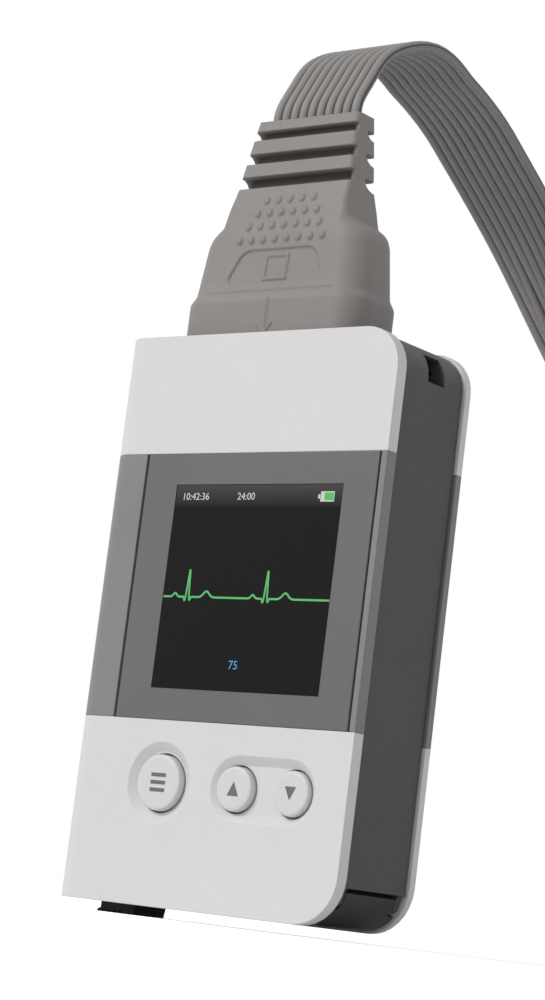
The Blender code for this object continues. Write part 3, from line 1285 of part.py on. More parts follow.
def coil_exit():
    """Where the bundle ends behind the coil, and its direction there."""
    end = np.array((COIL_X + COIL_RADIUS - COIL_EXIT_SWING, COIL_Y + COIL_EXIT_RUN, COIL_LOW))
    turn = math.radians(COIL_EXIT_DEGREES)
    return end, np.array((-math.sin(turn), math.cos(turn), 0.0))


def coil_route():
    """The bundle's middle: in from the ribbon, down through the turns, and out along the floor."""
    angles = np.linspace(0, 2 * math.pi * COIL_TURNS, COIL_TURNS * TURN_STEPS + 1)
    turns_x = COIL_X + COIL_RADIUS * np.cos(angles)
    turns_y = COIL_Y + COIL_RADIUS * np.sin(angles)
    turns = np.stack([turns_x, turns_y, COIL_HIGH - COIL_PITCH * angles / (2 * math.pi)], axis=1)
    before, last = cable_way()[-2:]
    heading = last - before
    start = last + heading / np.linalg.norm(heading) * CABLE_GAP
    lead_in = hermite(start, heading, turns[0], (0, float(turns[0][1] - start[1]), 0), 4)
    end, heading_out = coil_exit()
    out = hermite(turns[-1], (0, COIL_EXIT_RUN, 0), end, heading_out * COIL_EXIT_RUN, 6)
    return np.vstack([lead_in[:-1], turns, out[1:]])


def build_coil():
    """The coiled bundle; the least gap between its turns is measured on its points."""
    route = coil_route()
    tube("lead_coil", route, BUNDLE_DIAMETER / 2, BUNDLE_BEVEL_STEPS)
    apart = np.linalg.norm(route[:, None] - route[None], axis=2)
    far = np.abs(np.arange(len(route))[:, None] - np.arange(len(route))[None]) > TURN_STEPS / 2
    return float(apart[far].min() - BUNDLE_DIAMETER)


def build_tie():
    """A strap round the coil's turns at its left, with a head and the strap's cut end."""
    x = COIL_X - COIL_RADIUS
    half = BUNDLE_DIAMETER / 2 + TIE_CLEARANCE
    low = COIL_LOW + COIL_PITCH / 2 - half
    high = COIL_HIGH - COIL_PITCH / 2 + half
    y_range = (COIL_Y - TIE_WIDTH / 2, COIL_Y + TIE_WIDTH / 2)
    outer_half = half + TIE_THICKNESS
    outer_z = (low - TIE_THICKNESS, high + TIE_THICKNESS)
    outer = rounded(x - outer_half, x + outer_half, *outer_z, 4 * (outer_half * 0.9,))
    inner = rounded(x - half, x + half, low, high, 4 * (half * 0.9,))
    strap = prism("cable_tie", "Y", outer, *y_range)
    cut(strap, prism("strap_hollow", "Y", inner, y_range[0] - CUT_MARGIN, y_range[1] + CUT_MARGIN))
    middle = (low + high) / 2
    head_x = (x - outer_half - TIE_HEAD_DEPTH, x - outer_half + TIE_THICKNESS / 2)
    head_y = (y_range[0] - TIE_HEAD_RIM, y_range[1] + TIE_HEAD_RIM)
    head_z = (middle - TIE_HEAD_HEIGHT / 2, middle + TIE_HEAD_HEIGHT / 2)
    join(strap, block("tie_head", head_x, head_y, head_z))
    end_x = (x - outer_half - TIE_THICKNESS - SNUG, x - outer_half - SNUG)
    end_y = (y_range[0] + TIE_HEAD_RIM, y_range[1] - TIE_HEAD_RIM)
    return join(strap, block("tie_end", end_x, end_y, (head_z[0] + LAP, head_z[1] + TIE_HEAD_DEPTH)))


def build_leads():
    """Ten tails that fan out behind the coil, each to a snap, in turn in the near row and in the far one."""
    end, heading = coil_exit()
    side = np.array((heading[1], -heading[0], 0.0))
    low = FLOOR + WIRE_DIAMETER / 2 + COIL_SOLE
    barrel_z = FLOOR + SNAP_HEIGHT / 2
    barrel_reach = SNAP_RADIUS + SNAP_BARREL_LENGTH
    for number in range(WIRE_COUNT):
        near = number % 2 == 0
        x = COIL_X - SNAP_FIRST_REACH + number * SNAP_PITCH
        y = COIL_Y + (SNAP_NEAR_REACH if near else SNAP_FAR_REACH)
        start = end + heading * CABLE_GAP + side * (number - (WIRE_COUNT - 1) / 2) * TAIL_PITCH
        start[2] = low if near else low + TAIL_LAYER
        gate = np.array((x, COIL_Y + SNAP_NEAR_REACH - barrel_reach - FIT, barrel_z))
        reach = float(np.linalg.norm(gate - start))
        route = hermite(start, heading * reach, gate, (0, reach, 0), 10)
        if not near:
            route = np.vstack([route, (x, y - barrel_reach - FIT, barrel_z)])
        tube(f"lead_tail_{number + 1}", route, WIRE_DIAMETER / 2, WIRE_BEVEL_STEPS)
        build_snap(f"lead_snap_{number + 1}", x, y, y - barrel_reach, barrel_z)


def build_snap(name, x, y, barrel_y, barrel_z):
    """A snap connector: a turned body with a socket underneath, and the barrel that its wire enters."""
    low = FLOOR + COIL_SOLE
    high = FLOOR + SNAP_HEIGHT
    profile = (
        (low, SNAP_RADIUS - SNAP_EDGE / 2),
        (low + SNAP_EDGE, SNAP_RADIUS),
        (high - SNAP_EDGE, SNAP_RADIUS),
        (high, SNAP_RADIUS - SNAP_EDGE),
    )
    snap = turned(name, "Z", (x, y), profile, SNAP_STEPS)
    barrel = (barrel_y, y - SNAP_HOLE_RADIUS - LAP)
    join(snap, disc("snap_barrel", "Y", (x, barrel_z), SNAP_BARREL_RADIUS, *barrel, SMALL_STEPS))
    hole = (low - CUT_MARGIN, low + SNAP_HOLE_DEPTH)
    return cut(snap, disc("snap_socket", "Z", (x, y), SNAP_HOLE_RADIUS, *hole, SMALL_STEPS))


def dress_pieces():
    """Give each piece its own material, from its finish."""
    for obj in bpy.data.collections["holter_monitor"].objects:
        if obj.type == "EMPTY":
            continue
        colour, roughness, metallic = FINISHES[PIECE_FINISHES[obj.name.rstrip("_0123456789")]]
        material = bpy.data.materials.new(obj.name)
        material.use_nodes = True
        shader = material.node_tree.nodes["Principled BSDF"]
        shader.inputs["Base Color"].default_value = (*colour, 1.0)
        shader.inputs["Roughness"].default_value = roughness
        shader.inputs["Metallic"].default_value = metallic
        obj.data.materials.append(material)


def main():
    """Build every piece."""
    clear_scene()
    make_homes()
    build_upper_cover()
    build_middle_band()
    build_lower_cover()
    build_window()
    build_display()
    build_board()
    build_screws()
    build_board_parts()
    build_keys()
    build_core()
    build_lanyard_bar()
    build_cell()
    build_contacts()
    build_door()
    build_hinge_pin()
    build_latch()
    build_socket()
    build_insert()
    build_overmould()
    build_ribbon()
    least = build_coil()
    build_tie()
    build_leads()
    dress_pieces()
    print(f"least gap between the coil's turns: {least * 1000:.2f} mm")


main()
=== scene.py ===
# %% [markdown]
# A holter monitor is a small recorder that a person wears for a day or more while it
# writes down the heart's signal. This one stands upright, with a display, three keys,
# a battery door and a ten-wire patient cable plugged in at the top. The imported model
# gives every hard piece its exact place, so this script only adds what a solid can't
# show: the finishes, the lit display, the key marks and the real wires of the cable.
# All lengths are in metres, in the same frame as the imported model.

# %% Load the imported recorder
import math

import bmesh
import bpy
import numpy as np
from mathutils import Matrix


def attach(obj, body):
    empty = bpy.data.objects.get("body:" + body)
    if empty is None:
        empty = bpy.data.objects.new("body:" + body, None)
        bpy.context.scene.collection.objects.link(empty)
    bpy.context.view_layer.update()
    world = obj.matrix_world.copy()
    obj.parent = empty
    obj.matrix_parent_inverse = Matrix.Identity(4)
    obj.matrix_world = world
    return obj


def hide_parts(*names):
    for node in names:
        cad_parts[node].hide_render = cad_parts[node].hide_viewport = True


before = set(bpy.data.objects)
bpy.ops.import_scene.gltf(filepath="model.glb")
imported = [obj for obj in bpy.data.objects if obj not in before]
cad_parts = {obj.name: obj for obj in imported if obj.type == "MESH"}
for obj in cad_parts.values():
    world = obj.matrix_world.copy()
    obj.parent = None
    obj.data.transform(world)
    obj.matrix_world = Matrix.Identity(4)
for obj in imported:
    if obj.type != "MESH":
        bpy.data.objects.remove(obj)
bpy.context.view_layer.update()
print("packed pieces:", len(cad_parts))

# %% [markdown]
# Sizes are easiest to think about from the corner of the case: x to the display's right,
# y to the back, z up from the bottom of the plates. The shared frame has its origin under
# the middle of the case, on the floor, so one small function moves points over.

# %% Case corner to shared frame
CASE_WIDTH = 0.0600
CASE_DEPTH = 0.0211
LATCH_STAND = 0.0017
CORNER = np.array((-CASE_WIDTH / 2, -CASE_DEPTH / 2, LATCH_STAND))


def from_corner(points):
    """Points measured from the case's corner, moved to the shared frame."""
    return np.asarray(points, float) + CORNER


print("case corner in the frame:", CORNER)

# %% [markdown]
# The photograph looks up at the recorder from its lower right, tilted a little. The view
# was solved from the case's corners: an orbit direction, a distance, a roll and a focal
# length. A long lens keeps the case's edges nearly parallel, as they are in the photograph.

# %% Camera
def add_object(name, data):
    """A new object at the origin, in the scene's collection."""
    obj = bpy.data.objects.new(name, data)
    bpy.context.scene.collection.objects.link(obj)
    return obj


AZIMUTH = math.radians(39.145)
ELEVATION = math.radians(-8.987)
ROLL = math.radians(7.09)
DISTANCE = 0.448606
LENS = 94.72
AIM = from_corner((0.028613, 0.0110, 0.070521))

back = np.array(
    (
        math.sin(AZIMUTH) * math.cos(ELEVATION),
        -math.cos(AZIMUTH) * math.cos(ELEVATION),
        math.sin(ELEVATION),
    )
)
level_right = np.array((math.cos(AZIMUTH), math.sin(AZIMUTH), 0.0))
level_up = np.cross(back, level_right)
right = math.cos(ROLL) * level_right + math.sin(ROLL) * level_up
up = -math.sin(ROLL) * level_right + math.cos(ROLL) * level_up
place = AIM + DISTANCE * back

camera_data = bpy.data.cameras.new("photo_view")
camera_data.lens = LENS
camera_data.sensor_width = 36
camera_data.sensor_fit = "AUTO"
camera_data.clip_start = 0.01
camera = add_object("photo_view", camera_data)
matrix = np.eye(4)
matrix[:3, 0] = right
matrix[:3, 1] = up
matrix[:3, 2] = back
matrix[:3, 3] = place
camera.matrix_world = Matrix([list(row) for row in matrix])
bpy.context.scene.camera = camera
print("camera stands at", np.round(place, 4))

# %% [markdown]
# The patient cable is ten thin wires, moulded side by side into a flat ribbon where it
# leaves the plug. It arches back over the recorder, gathers into a round bundle and is
# put away in a coil behind, where ten tails fan out to their snaps. The route's points
# repeat those of the part's source, and a Catmull-Rom curve joins them: each span is the
# cubic that passes its two ends with the slope of their neighbours.

# %% Route of the cable
PLUG = from_corner((0.0281, 0.01075, 0.1375))
CABLE_START = PLUG + np.array((0, 0, 0.0003))
SHIFT = 0.0259
RUN = 0.1402
RISE = 0.0197
FALL = 0.0988
MOULDED_IN = 0.0013
WAY = np.array(
    (
        (0.000, 0.0000, 0.000),
        (0.000, 0.0010, 0.112),
        (0.000, 0.0070, 0.225),
        (0.000, 0.0221, 0.406),
        (0.000, 0.0378, 0.594),
        (0.000, 0.0571, 0.726),
        (0.000, 0.0749, 0.807),
        (0.000, 0.0984, 0.888),
        (0.000, 0.1476, 1.000),
        (0.000, 0.1976, 0.959),
        (0.000, 0.2254, 0.883),
        (0.000, 0.2596, 0.817),
        (0.000, 0.3160, 0.660),
        (0.004, 0.3584, 0.482),
        (0.046, 0.4262, 0.132),
        (0.135, 0.4868, -0.066),
        (0.259, 0.5439, -0.188),
        (0.405, 0.5974, -0.333),
        (0.552, 0.6509, -0.487),
        (0.687, 0.7079, -0.636),
        (0.807, 0.7721, -0.768),
        (0.907, 0.8470, -0.876),
        (0.973, 0.9255, -0.953),
        (1.000, 1.0000, -1.000),
    )
)


def smooth(points, per_span):
    """A Catmull-Rom curve: on each span b to c, with a before and d after, it is half of
    2b + (c-a)t + (2a-5b+4c-d)t2 + (3b-a-3c+d)t3."""
    ends = np.vstack([2 * points[0] - points[1], points, 2 * points[-1] - points[-2]])
    a, b, c, d = (ends[k : len(ends) - 3 + k, None, :] for k in range(4))
    t = (np.arange(per_span) / per_span)[None, :, None]
    square = (2 * a - 5 * b + 4 * c - d) * t**2
    cube = (3 * b - a - 3 * c + d) * t**3
    curve = 2 * b + (c - a) * t + square + cube
    return np.vstack([curve.reshape(-1, 3) / 2, points[-1:]])


def hermite(start, start_way, end, end_way, steps):
    """A cubic that leaves start along start_way and reaches end along end_way: the two points
    blended by 3t2 - 2t3, plus the ways times t - 2t2 + t3 and t3 - t2."""
    t = np.linspace(0, 1, steps + 1)[:, None]
    start, start_way = np.asarray(start, float), np.asarray(start_way, float)
    end, end_way = np.asarray(end, float), np.asarray(end_way, float)
    leave = t - 2 * t**2 + t**3
    arrive = t**3 - t**2
    return start + (end - start) * (3 * t**2 - 2 * t**3) + start_way * leave + end_way * arrive


def ironed(points, rounds):
    """Each inner point goes half way to its neighbours' mean, then nearly as far back, so that
    only ripples go."""
    points = points.copy()
    for share in (0.50, -0.515) * rounds:
        points[1:-1] += share * ((points[:-2] + points[2:]) / 2 - points[1:-1])
    return points


def reach_along(points):
    """Distance from a line's start to each of its points: the running sum of the steps between."""
    steps = np.linalg.norm(np.diff(points, axis=0), axis=1)
    return np.concatenate([[0], np.cumsum(steps)])


height = np.where(WAY[:, 2] > 0, RISE, FALL) * WAY[:, 2]
ribbon_way = CABLE_START + np.stack([WAY[:, 0] * SHIFT, WAY[:, 1] * RUN, height], axis=1)
ribbon_line = ironed(smooth(ribbon_way, 3), 12)
ribbon_line = np.vstack([ribbon_line[:1] - np.array((0, 0, MOULDED_IN)), ribbon_line])
print("ribbon, from plug to coil:", round(float(reach_along(ribbon_line)[-1]), 3), "m")

# %% [markdown]
# The coil is a helix that comes down four turns on the floor. Its line is the circle's
# cosine and sine with a height that falls by one pitch a turn. A short cubic leads in from
# the ribbon, and another swings the bundle out along the floor to where the tails begin.

# %% Coil and the bundle's way out
COIL_CENTRE = from_corner((0.0320, 0.1630, 0))
COIL_RADIUS = 0.0220
COIL_PITCH = 0.0087
COIL_TURNS = 4
STEPS_A_TURN = 24
BUNDLE = 0.0073
SOLE = 0.0001
EXIT_RUN = 0.0230
EXIT_SWING = 0.0080
EXIT_TURN = math.radians(48)
CABLE_GAP = 0.0010

coil_bottom = BUNDLE / 2 + SOLE
angle = np.linspace(0, 2 * math.pi * COIL_TURNS, COIL_TURNS * STEPS_A_TURN + 1)
turns = np.stack(
    [
        COIL_CENTRE[0] + COIL_RADIUS * np.cos(angle),
        COIL_CENTRE[1] + COIL_RADIUS * np.sin(angle),
        coil_bottom + COIL_PITCH * (COIL_TURNS - angle / (2 * math.pi)),
    ],
    axis=1,
)
last_way = ribbon_way[-1] - ribbon_way[-2]
lead_start = ribbon_way[-1] + last_way / np.linalg.norm(last_way) * CABLE_GAP
lead_in = hermite(lead_start, last_way, turns[0], (0, turns[0][1] - lead_start[1], 0), 4)
bundle_end = np.array(
    (COIL_CENTRE[0] + COIL_RADIUS - EXIT_SWING, COIL_CENTRE[1] + EXIT_RUN, coil_bottom)
)
end_way = np.array((-math.sin(EXIT_TURN), math.cos(EXIT_TURN), 0.0))
way_out = hermite(turns[-1], (0, EXIT_RUN, 0), bundle_end, end_way * EXIT_RUN, 8)
line = np.vstack([ribbon_line[:-1], lead_in[:-1], turns, way_out[1:]])
along = reach_along(line)
print("plug to the end of the bundle:", round(float(along[-1]), 3), "m")

# %% [markdown]
# Each wire is a tube that keeps its own place in the cable's cross-section. In the ribbon
# the ten places are one row; in the bundle they are a ring of eight round two, and that
# pattern turns slowly as it goes, which is the lay of the bundle. A smooth step from 0 to 1
# blends row into ring, and another blends the ring into the spread start of the tails.

# %% Places of the ten wires in the cross-section
WIRES = 10
WIRE = 0.0019
LAY_LENGTH = 0.085
GATHER_FROM = 0.42
GATHER_TO = 0.86
SPREAD_RUN = 0.020
OUTER_RING = 2.72
INNER_PAIR = 0.95


def ease(x, low, high):
    """A smooth step: 0 below low, 1 above high, 3t2 - 2t3 between."""
    t = np.clip((x - low) / (high - low), 0, 1)
    return t * t * (3 - 2 * t)


def carried_frames(points, first_side):
    """Sides and ups along a line: each side is the last one with its part along the line taken
    out, and each up is square to both."""
    tangents = np.gradient(points, axis=0)
    tangents = tangents / np.linalg.norm(tangents, axis=1)[:, None]
    side = np.asarray(first_side, float)
    sides = []
    for tangent in tangents:
        side = side - side.dot(tangent) * tangent
        side = side / np.linalg.norm(side)
        sides.append(side)
    sides = np.array(sides)
    return sides, np.cross(sides, tangents)


sides, ups = carried_frames(line, (1, 0, 0))
ring_angles = np.radians((157.5, 202.5, 112.5, 247.5, 180, 0, 67.5, 292.5, 22.5, 337.5))
in_pair = np.isin(np.arange(WIRES), (4, 5))
ring_radii = np.where(in_pair, INNER_PAIR, OUTER_RING) / 1000
ribbon_share = (line[:, 1] - CABLE_START[1]) / RUN
in_ribbon = np.arange(len(line)) < len(ribbon_line)
gathered = np.where(in_ribbon, ease(ribbon_share, GATHER_FROM, GATHER_TO), 1.0)
round_start = along[np.argmax(gathered > 0)]
twist = 2 * math.pi * np.clip(along - round_start, 0, None) / LAY_LENGTH
spread = ease(along, along[-1] - SPREAD_RUN, along[-1])
print("the bundle gathers from", round(float(round_start), 3), "m on")

# %% Ten wire lines, each with its tail
TAIL_PITCH = 0.0011
TAIL_LAYER = 0.0021
TAIL_STEPS = 14
SNAP_FIRST = 0.0043
SNAP_PITCH = 0.00575
SNAP_REACH = 0.0083
SNAP_HEIGHT = 0.0040
SNAP_CLEAR = 0.0003
SNAP_ENTRY = 0.0006
NEAR_ROW = 0.2150
FAR_ROW = 0.2260
end_side = np.array((end_way[1], -end_way[0], 0.0))


def tail_start(number):
    """Where a wire leaves the end of the bundle: a step sideways for each wire, in two layers."""
    layer = TAIL_LAYER if number % 2 else 0.0
    low = WIRE / 2 + SOLE + layer
    point = bundle_end + end_side * (number - (WIRES - 1) / 2) * TAIL_PITCH
    return np.array((point[0], point[1], low))


def wire_line(number):
    """The bundle's line plus the wire's own offset, then the tail's cubic to its snap."""
    flat = (number - (WIRES - 1) / 2) * WIRE
    round_side = ring_radii[number] * np.cos(ring_angles[number] + twist)
    round_up = ring_radii[number] * np.sin(ring_angles[number] + twist)
    across = flat + gathered * (round_side - flat)
    above = gathered * round_up
    offset = sides * across[:, None] + ups * above[:, None]
    start = tail_start(number)
    offset = offset + spread[:, None] * (start - bundle_end - offset)
    head = line + offset
    x, near_y = from_corner((SNAP_FIRST + number * SNAP_PITCH, NEAR_ROW - SNAP_REACH, 0))[:2]
    gate = np.array((x, near_y - SNAP_CLEAR, SNAP_HEIGHT / 2))
    leave = start + end_way * CABLE_GAP
    reach = float(np.linalg.norm(gate - leave))
    tail = hermite(leave, end_way * reach, gate, (0, reach, 0), TAIL_STEPS)
    further = FAR_ROW - NEAR_ROW if number % 2 else 0.0
    last = gate + np.array((0, SNAP_ENTRY + further, 0))
    return np.vstack([head, tail, last])


wire_lines = [wire_line(number) for number in range(WIRES)]

# %% [markdown]
# A wire's skin is a circle carried along its line. The grid of points is the line plus the
# radius times cosine and sine along the two carried normals, for every pair of place and
# angle at once. The map that goes with it runs round the wire and along it in metres, so
# that a finish can follow the wire wherever it bends. The skin is drawn one part in a
# hundred thinner than the wire, so that neighbours in the ribbon don't cut each other.

# %% Tubes as numpy grids
def add_mesh(name, points, faces, smooth_faces=True):
    """An object at the origin from points and faces."""
    mesh = bpy.data.meshes.new(name)
    faces = [list(map(int, face)) for face in faces]
    mesh.from_pydata(np.asarray(points, float).tolist(), [], faces)
    mesh.polygons.foreach_set("use_smooth", np.full(len(mesh.polygons), smooth_faces))
    mesh.update()
    return add_object(name, mesh)


def grid_faces(rows, columns):
    """Quads of a grid whose columns close on themselves, with a cap at each end."""
    row = np.arange(rows - 1)[:, None]
    column = np.arange(columns)[None, :]
    following = (column + 1) % columns
    low = row * columns
    high = low + columns
    corners = [low + column, low + following, high + following, high + column]
    quads = np.stack(corners, axis=-1)
    caps = [np.arange(columns)[::-1], (rows - 1) * columns + np.arange(columns)]
    return list(quads.reshape(-1, 4)) + caps


def tube(name, points, radius, around):
    """Circle of the radius carried along the points, closed at both ends: side times cosine
    plus up times sine. Its map is the share of a turn, and the distance along in metres."""
    tube_sides, tube_ups = carried_frames(points, (1, 0, 0))
    theta = (np.arange(around) * 2 * math.pi / around)[None, :, None]
    ring = np.cos(theta) * tube_sides[:, None, :] + np.sin(theta) * tube_ups[:, None, :]
    skin = points[:, None, :] + radius * ring
    obj = add_mesh(name, skin.reshape(-1, 3), grid_faces(len(points), around))
    mesh = obj.data
    corner = np.zeros(len(mesh.loops), int)
    mesh.loops.foreach_get("vertex_index", corner)
    turn = corner % around / around
    reach = reach_along(points)[corner // around]
    layer = mesh.uv_layers.new(name="along_wire")
    layer.data.foreach_set("uv", np.stack([turn, reach], axis=1).ravel())
    return obj


print("tube helpers ready")

# %% Ten wires
WIRE_FACES = 12
WIRE_DRAWN = 0.99
wires = []
for number, points in enumerate(wire_lines):
    wire = tube(f"wire_{number + 1}", points, WIRE / 2 * WIRE_DRAWN, WIRE_FACES)
    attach(wire, "recorder")
    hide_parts("ribbon_cable", "lead_coil", f"lead_tail_{number + 1}")
    wires.append(wire)
print("wires:", len(wires), "faces each:", len(wires[0].data.polygons))

# %% [markdown]
# Every moulded piece has a fine grain from its tool and is never one even colour. One
# helper builds that: a Principled shader whose colour wanders a little with a wide noise
# and is speckled by a fine one, whose roughness follows the fine one too, and whose bump
# is the grain. A bevel node rounds the light on sharp edges as a mould's small radii do.
# All of it reads Object coordinates, so it stays in place on the piece.

# %% Helpers for nodes and values
def add_node(tree, kind, settings=(), values=()):
    """A node of one kind, with its settings and its sockets' values."""
    node = tree.nodes.new(kind)
    for key, value in settings:
        setattr(node, key, value)
    for key, value in values:
        node.inputs[key].default_value = value
    return node


def begin_material(name, rough, metallic=0.0, specular=0.4):
    """A material with a Principled shader, its node tree, the shader and Object coordinates."""
    material = bpy.data.materials.new(name)
    material.use_nodes = True
    tree = material.node_tree
    tree.nodes.clear()
    output = add_node(tree, "ShaderNodeOutputMaterial")
    values = (("Roughness", rough), ("Metallic", metallic), ("Specular IOR Level", specular))
    shader = add_node(tree, "ShaderNodeBsdfPrincipled", values=values)
    tree.links.new(shader.outputs[0], output.inputs["Surface"])
    coordinates = add_node(tree, "ShaderNodeTexCoord")
    return material, tree, shader, coordinates.outputs["Object"]


def noise(tree, vector, scale, detail=2.0):
    """A noise texture's value at a scale in features per metre."""
    node = add_node(tree, "ShaderNodeTexNoise", values=(("Scale", scale), ("Detail", detail)))
    tree.links.new(vector, node.inputs["Vector"])
    return node.outputs["Fac"]


def remap(tree, value, low, high, start=0.3, stop=0.7):
    """A value between start and stop, at first the middle of a noise's range, made to run from
    low to high."""
    values = (("From Min", start), ("From Max", stop), ("To Min", low), ("To Max", high))
    node = add_node(tree, "ShaderNodeMapRange", values=values)
    tree.links.new(value, node.inputs["Value"])
    return node.outputs["Result"]


def calculate(tree, operation, first, second=None):
    """A Math node's result, from a socket and, where there is a second, a number or a socket."""
    node = add_node(tree, "ShaderNodeMath", (("operation", operation),))
    tree.links.new(first, node.inputs[0])
    if isinstance(second, float):
        node.inputs[1].default_value = second
    elif second is not None:
        tree.links.new(second, node.inputs[1])
    return node.outputs[0]


def along_axis(tree, place, axis):
    """One of a place's coordinates: X, Y or Z."""
    parts = add_node(tree, "ShaderNodeSeparateXYZ")
    tree.links.new(place, parts.inputs[0])
    return parts.outputs[axis]


print("node helpers ready")

# %% Helpers for bump and colour
def add_bump(tree, shader, height, strength, distance, rounded=None):
    """A Bump node from a value into the shader, on the rounded normal where one is given."""
    values = (("Strength", strength), ("Distance", distance))
    bump = add_node(tree, "ShaderNodeBump", values=values)
    tree.links.new(height, bump.inputs["Height"])
    if rounded is not None:
        tree.links.new(rounded, bump.inputs["Normal"])
    tree.links.new(bump.outputs[0], shader.inputs["Normal"])


def shade(colour, factor):
    """A colour made darker or lighter."""
    return tuple(min(part * factor, 1.0) for part in colour) + (1.0,)


def blend_colours(tree, factor, first, second):
    """A mix of two colours, or of a socket and a colour, by a value."""
    node = add_node(tree, "ShaderNodeMix", (("data_type", "RGBA"),))
    tree.links.new(factor, node.inputs["Factor"])
    for name, colour in (("A", first), ("B", second)):
        socket = next(s for s in node.inputs if s.name == name and s.type == "RGBA")
        if isinstance(colour, tuple):
            socket.default_value = colour
        else:
            tree.links.new(colour, socket)
    return next(s for s in node.outputs if s.type == "RGBA")


print("bump and colour helpers ready")

# %% Moulded plastic and drawn metal
WIDE_NOISE = 70
SPECKLE = 0.16
SPECKLE_TONE = 0.80
ROUGH_SWING = 0.07
GRAIN_STRENGTH = 0.35
BEVEL_SAMPLES = 6
DRAWN_NOISE = 4.0
DRAWN_STRENGTH = 0.4


def moulded(
    name, colour, rough=0.55, grain=3200, depth=0.00002, wander=0.04, edge=0.0003, specular=0.4
):
    """Moulded plastic: wandering colour, speckle, grain and rounded edges."""
    material, tree, shader, place = begin_material(name, rough, specular=specular)
    wide = remap(tree, noise(tree, place, WIDE_NOISE, 3), 0.0, 1.0)
    body = blend_colours(tree, wide, shade(colour, 1 - wander), shade(colour, 1 + wander))
    fine = noise(tree, place, grain, 3)
    speckle = remap(tree, fine, 0.0, SPECKLE)
    mixed = blend_colours(tree, speckle, body, shade(colour, SPECKLE_TONE))
    tree.links.new(mixed, shader.inputs["Base Color"])
    roughness = remap(tree, fine, rough - ROUGH_SWING, rough + ROUGH_SWING)
    tree.links.new(roughness, shader.inputs["Roughness"])
    samples = (("samples", BEVEL_SAMPLES),)
    rounding = add_node(tree, "ShaderNodeBevel", samples, (("Radius", edge),))
    add_bump(tree, shader, fine, GRAIN_STRENGTH, depth, rounding.outputs[0])
    return material


def metal(name, colour, rough=0.30, brush=(900, 900, 60), depth=0.000006):
    """Metal with a drawn grain: noise stretched along one way, in roughness, bump and colour."""
    material, tree, shader, place = begin_material(name, rough, metallic=1.0, specular=0.5)
    stretch = add_node(tree, "ShaderNodeMapping", values=(("Scale", brush),))
    tree.links.new(place, stretch.inputs["Vector"])
    drawn = noise(tree, stretch.outputs[0], DRAWN_NOISE, 4)
    tree.links.new(remap(tree, drawn, rough - 0.08, rough + 0.10), shader.inputs["Roughness"])
    tone = remap(tree, drawn, 0.0, 1.0)
    toned = blend_colours(tree, tone, shade(colour, 0.86), shade(colour, 1.06))
    tree.links.new(toned, shader.inputs["Base Color"])
    add_bump(tree, shader, drawn, DRAWN_STRENGTH, depth)
    return material


def with_painted_shade(material, mark, colour, factor):
    """A material with painted shade: its colour made darker where the mesh's named mark is 1."""
    tree = material.node_tree
    shader = next(node for node in tree.nodes if node.type == "BSDF_PRINCIPLED")
    base = shader.inputs["Base Color"]
    before = base.links[0].from_socket
    amount = add_node(tree, "ShaderNodeAttribute", (("attribute_name", mark),))
    shaded_colour = blend_colours(tree, amount.outputs["Fac"], before, shade(colour, factor))
    tree.links.new(shaded_colour, base)
    return material


def dress(names, material):
    """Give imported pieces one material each."""
    for name in names:
        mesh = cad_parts[name].data
        mesh.materials.clear()
        mesh.materials.append(material)


print("finish helpers ready")

# %% [markdown]
# The covers are pale, warm-white matt plastic; the band between them is a mid grey of the
# same grain. The keys are the covers' plastic, a shade darker from touch.

# %% Covers, band and keys
cover_white = moulded("cover_white", (0.70, 0.688, 0.688), rough=0.50, wander=0.012)
band_grey = moulded("band_grey", (0.225, 0.218, 0.218), rough=0.48)
key_white = moulded("key_white", (0.68, 0.668, 0.668), rough=0.46, wander=0.012, edge=0.00025)
dress(("menu_key", "up_key", "down_key"), key_white)
print("white and grey finishes done")

# %% [markdown]
# The window is a smooth painted plate, a darker grey than the band, with a satin sheen.
# The housing that shows at the recorder's side is near black with a coarser grain, and the
# battery door and latch are blacker still.

# %% Window, housing, door and latch
window_grey = moulded(
    "window_grey", (0.138, 0.131, 0.131), rough=0.42, grain=2200, depth=0.000006, wander=0.03
)
core_black = moulded("core_black", (0.062, 0.058, 0.057), rough=0.52, depth=0.00003, wander=0.06)
door_black = moulded("door_black", (0.030, 0.029, 0.028), rough=0.50, depth=0.00003, wander=0.06)
latch_black = moulded("latch_black", (0.034, 0.032, 0.032), rough=0.55, depth=0.00003, wander=0.08)
dress(("door_latch",), latch_black)
print("grey and black finishes done")

# %% [markdown]
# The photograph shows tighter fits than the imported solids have: hairline seams between the
# covers and the band, a thin rear plate, and a housing that comes almost flush with the
# covers' edges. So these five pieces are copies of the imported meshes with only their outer
# skins moved, by a few tenths of a millimetre. The housing and the door share one rounded
# outline. A point on its skin moves along the outline's normal, which in a corner is the
# direction from the corner's centre, and elsewhere is that of the nearer straight edge.

# %% Helper for copies with a moved skin
CASE_SKIN = 0.0590
SKIN_TOP = 0.0962
SKIN_LOW = 0.0009
PLATE_REAR = 0.0192
CORE_REAR = 0.0188
OUTWARD = 0.00055
REARWARD = 0.00045
SEAM = 0.00027
NEAR = 0.00025
HINGE = np.array((0.05715, 0.00550))
HINGE_PARTS = 0.00178
HINGE_ROOM = 0.00190
MID_HEIGHT = 0.045
TOP_CORNER = 0.0060
LOW_CORNER = 0.0072
SPINE = 0.0030
LATCH_END = 0.030
BAND_HIGH = 0.07665
BAND_LOW = 0.03060
ON_FACE = 0.00004
TINY = 1e-9
MERGE = 0.000001
SKIN_SHARP = math.radians(32)


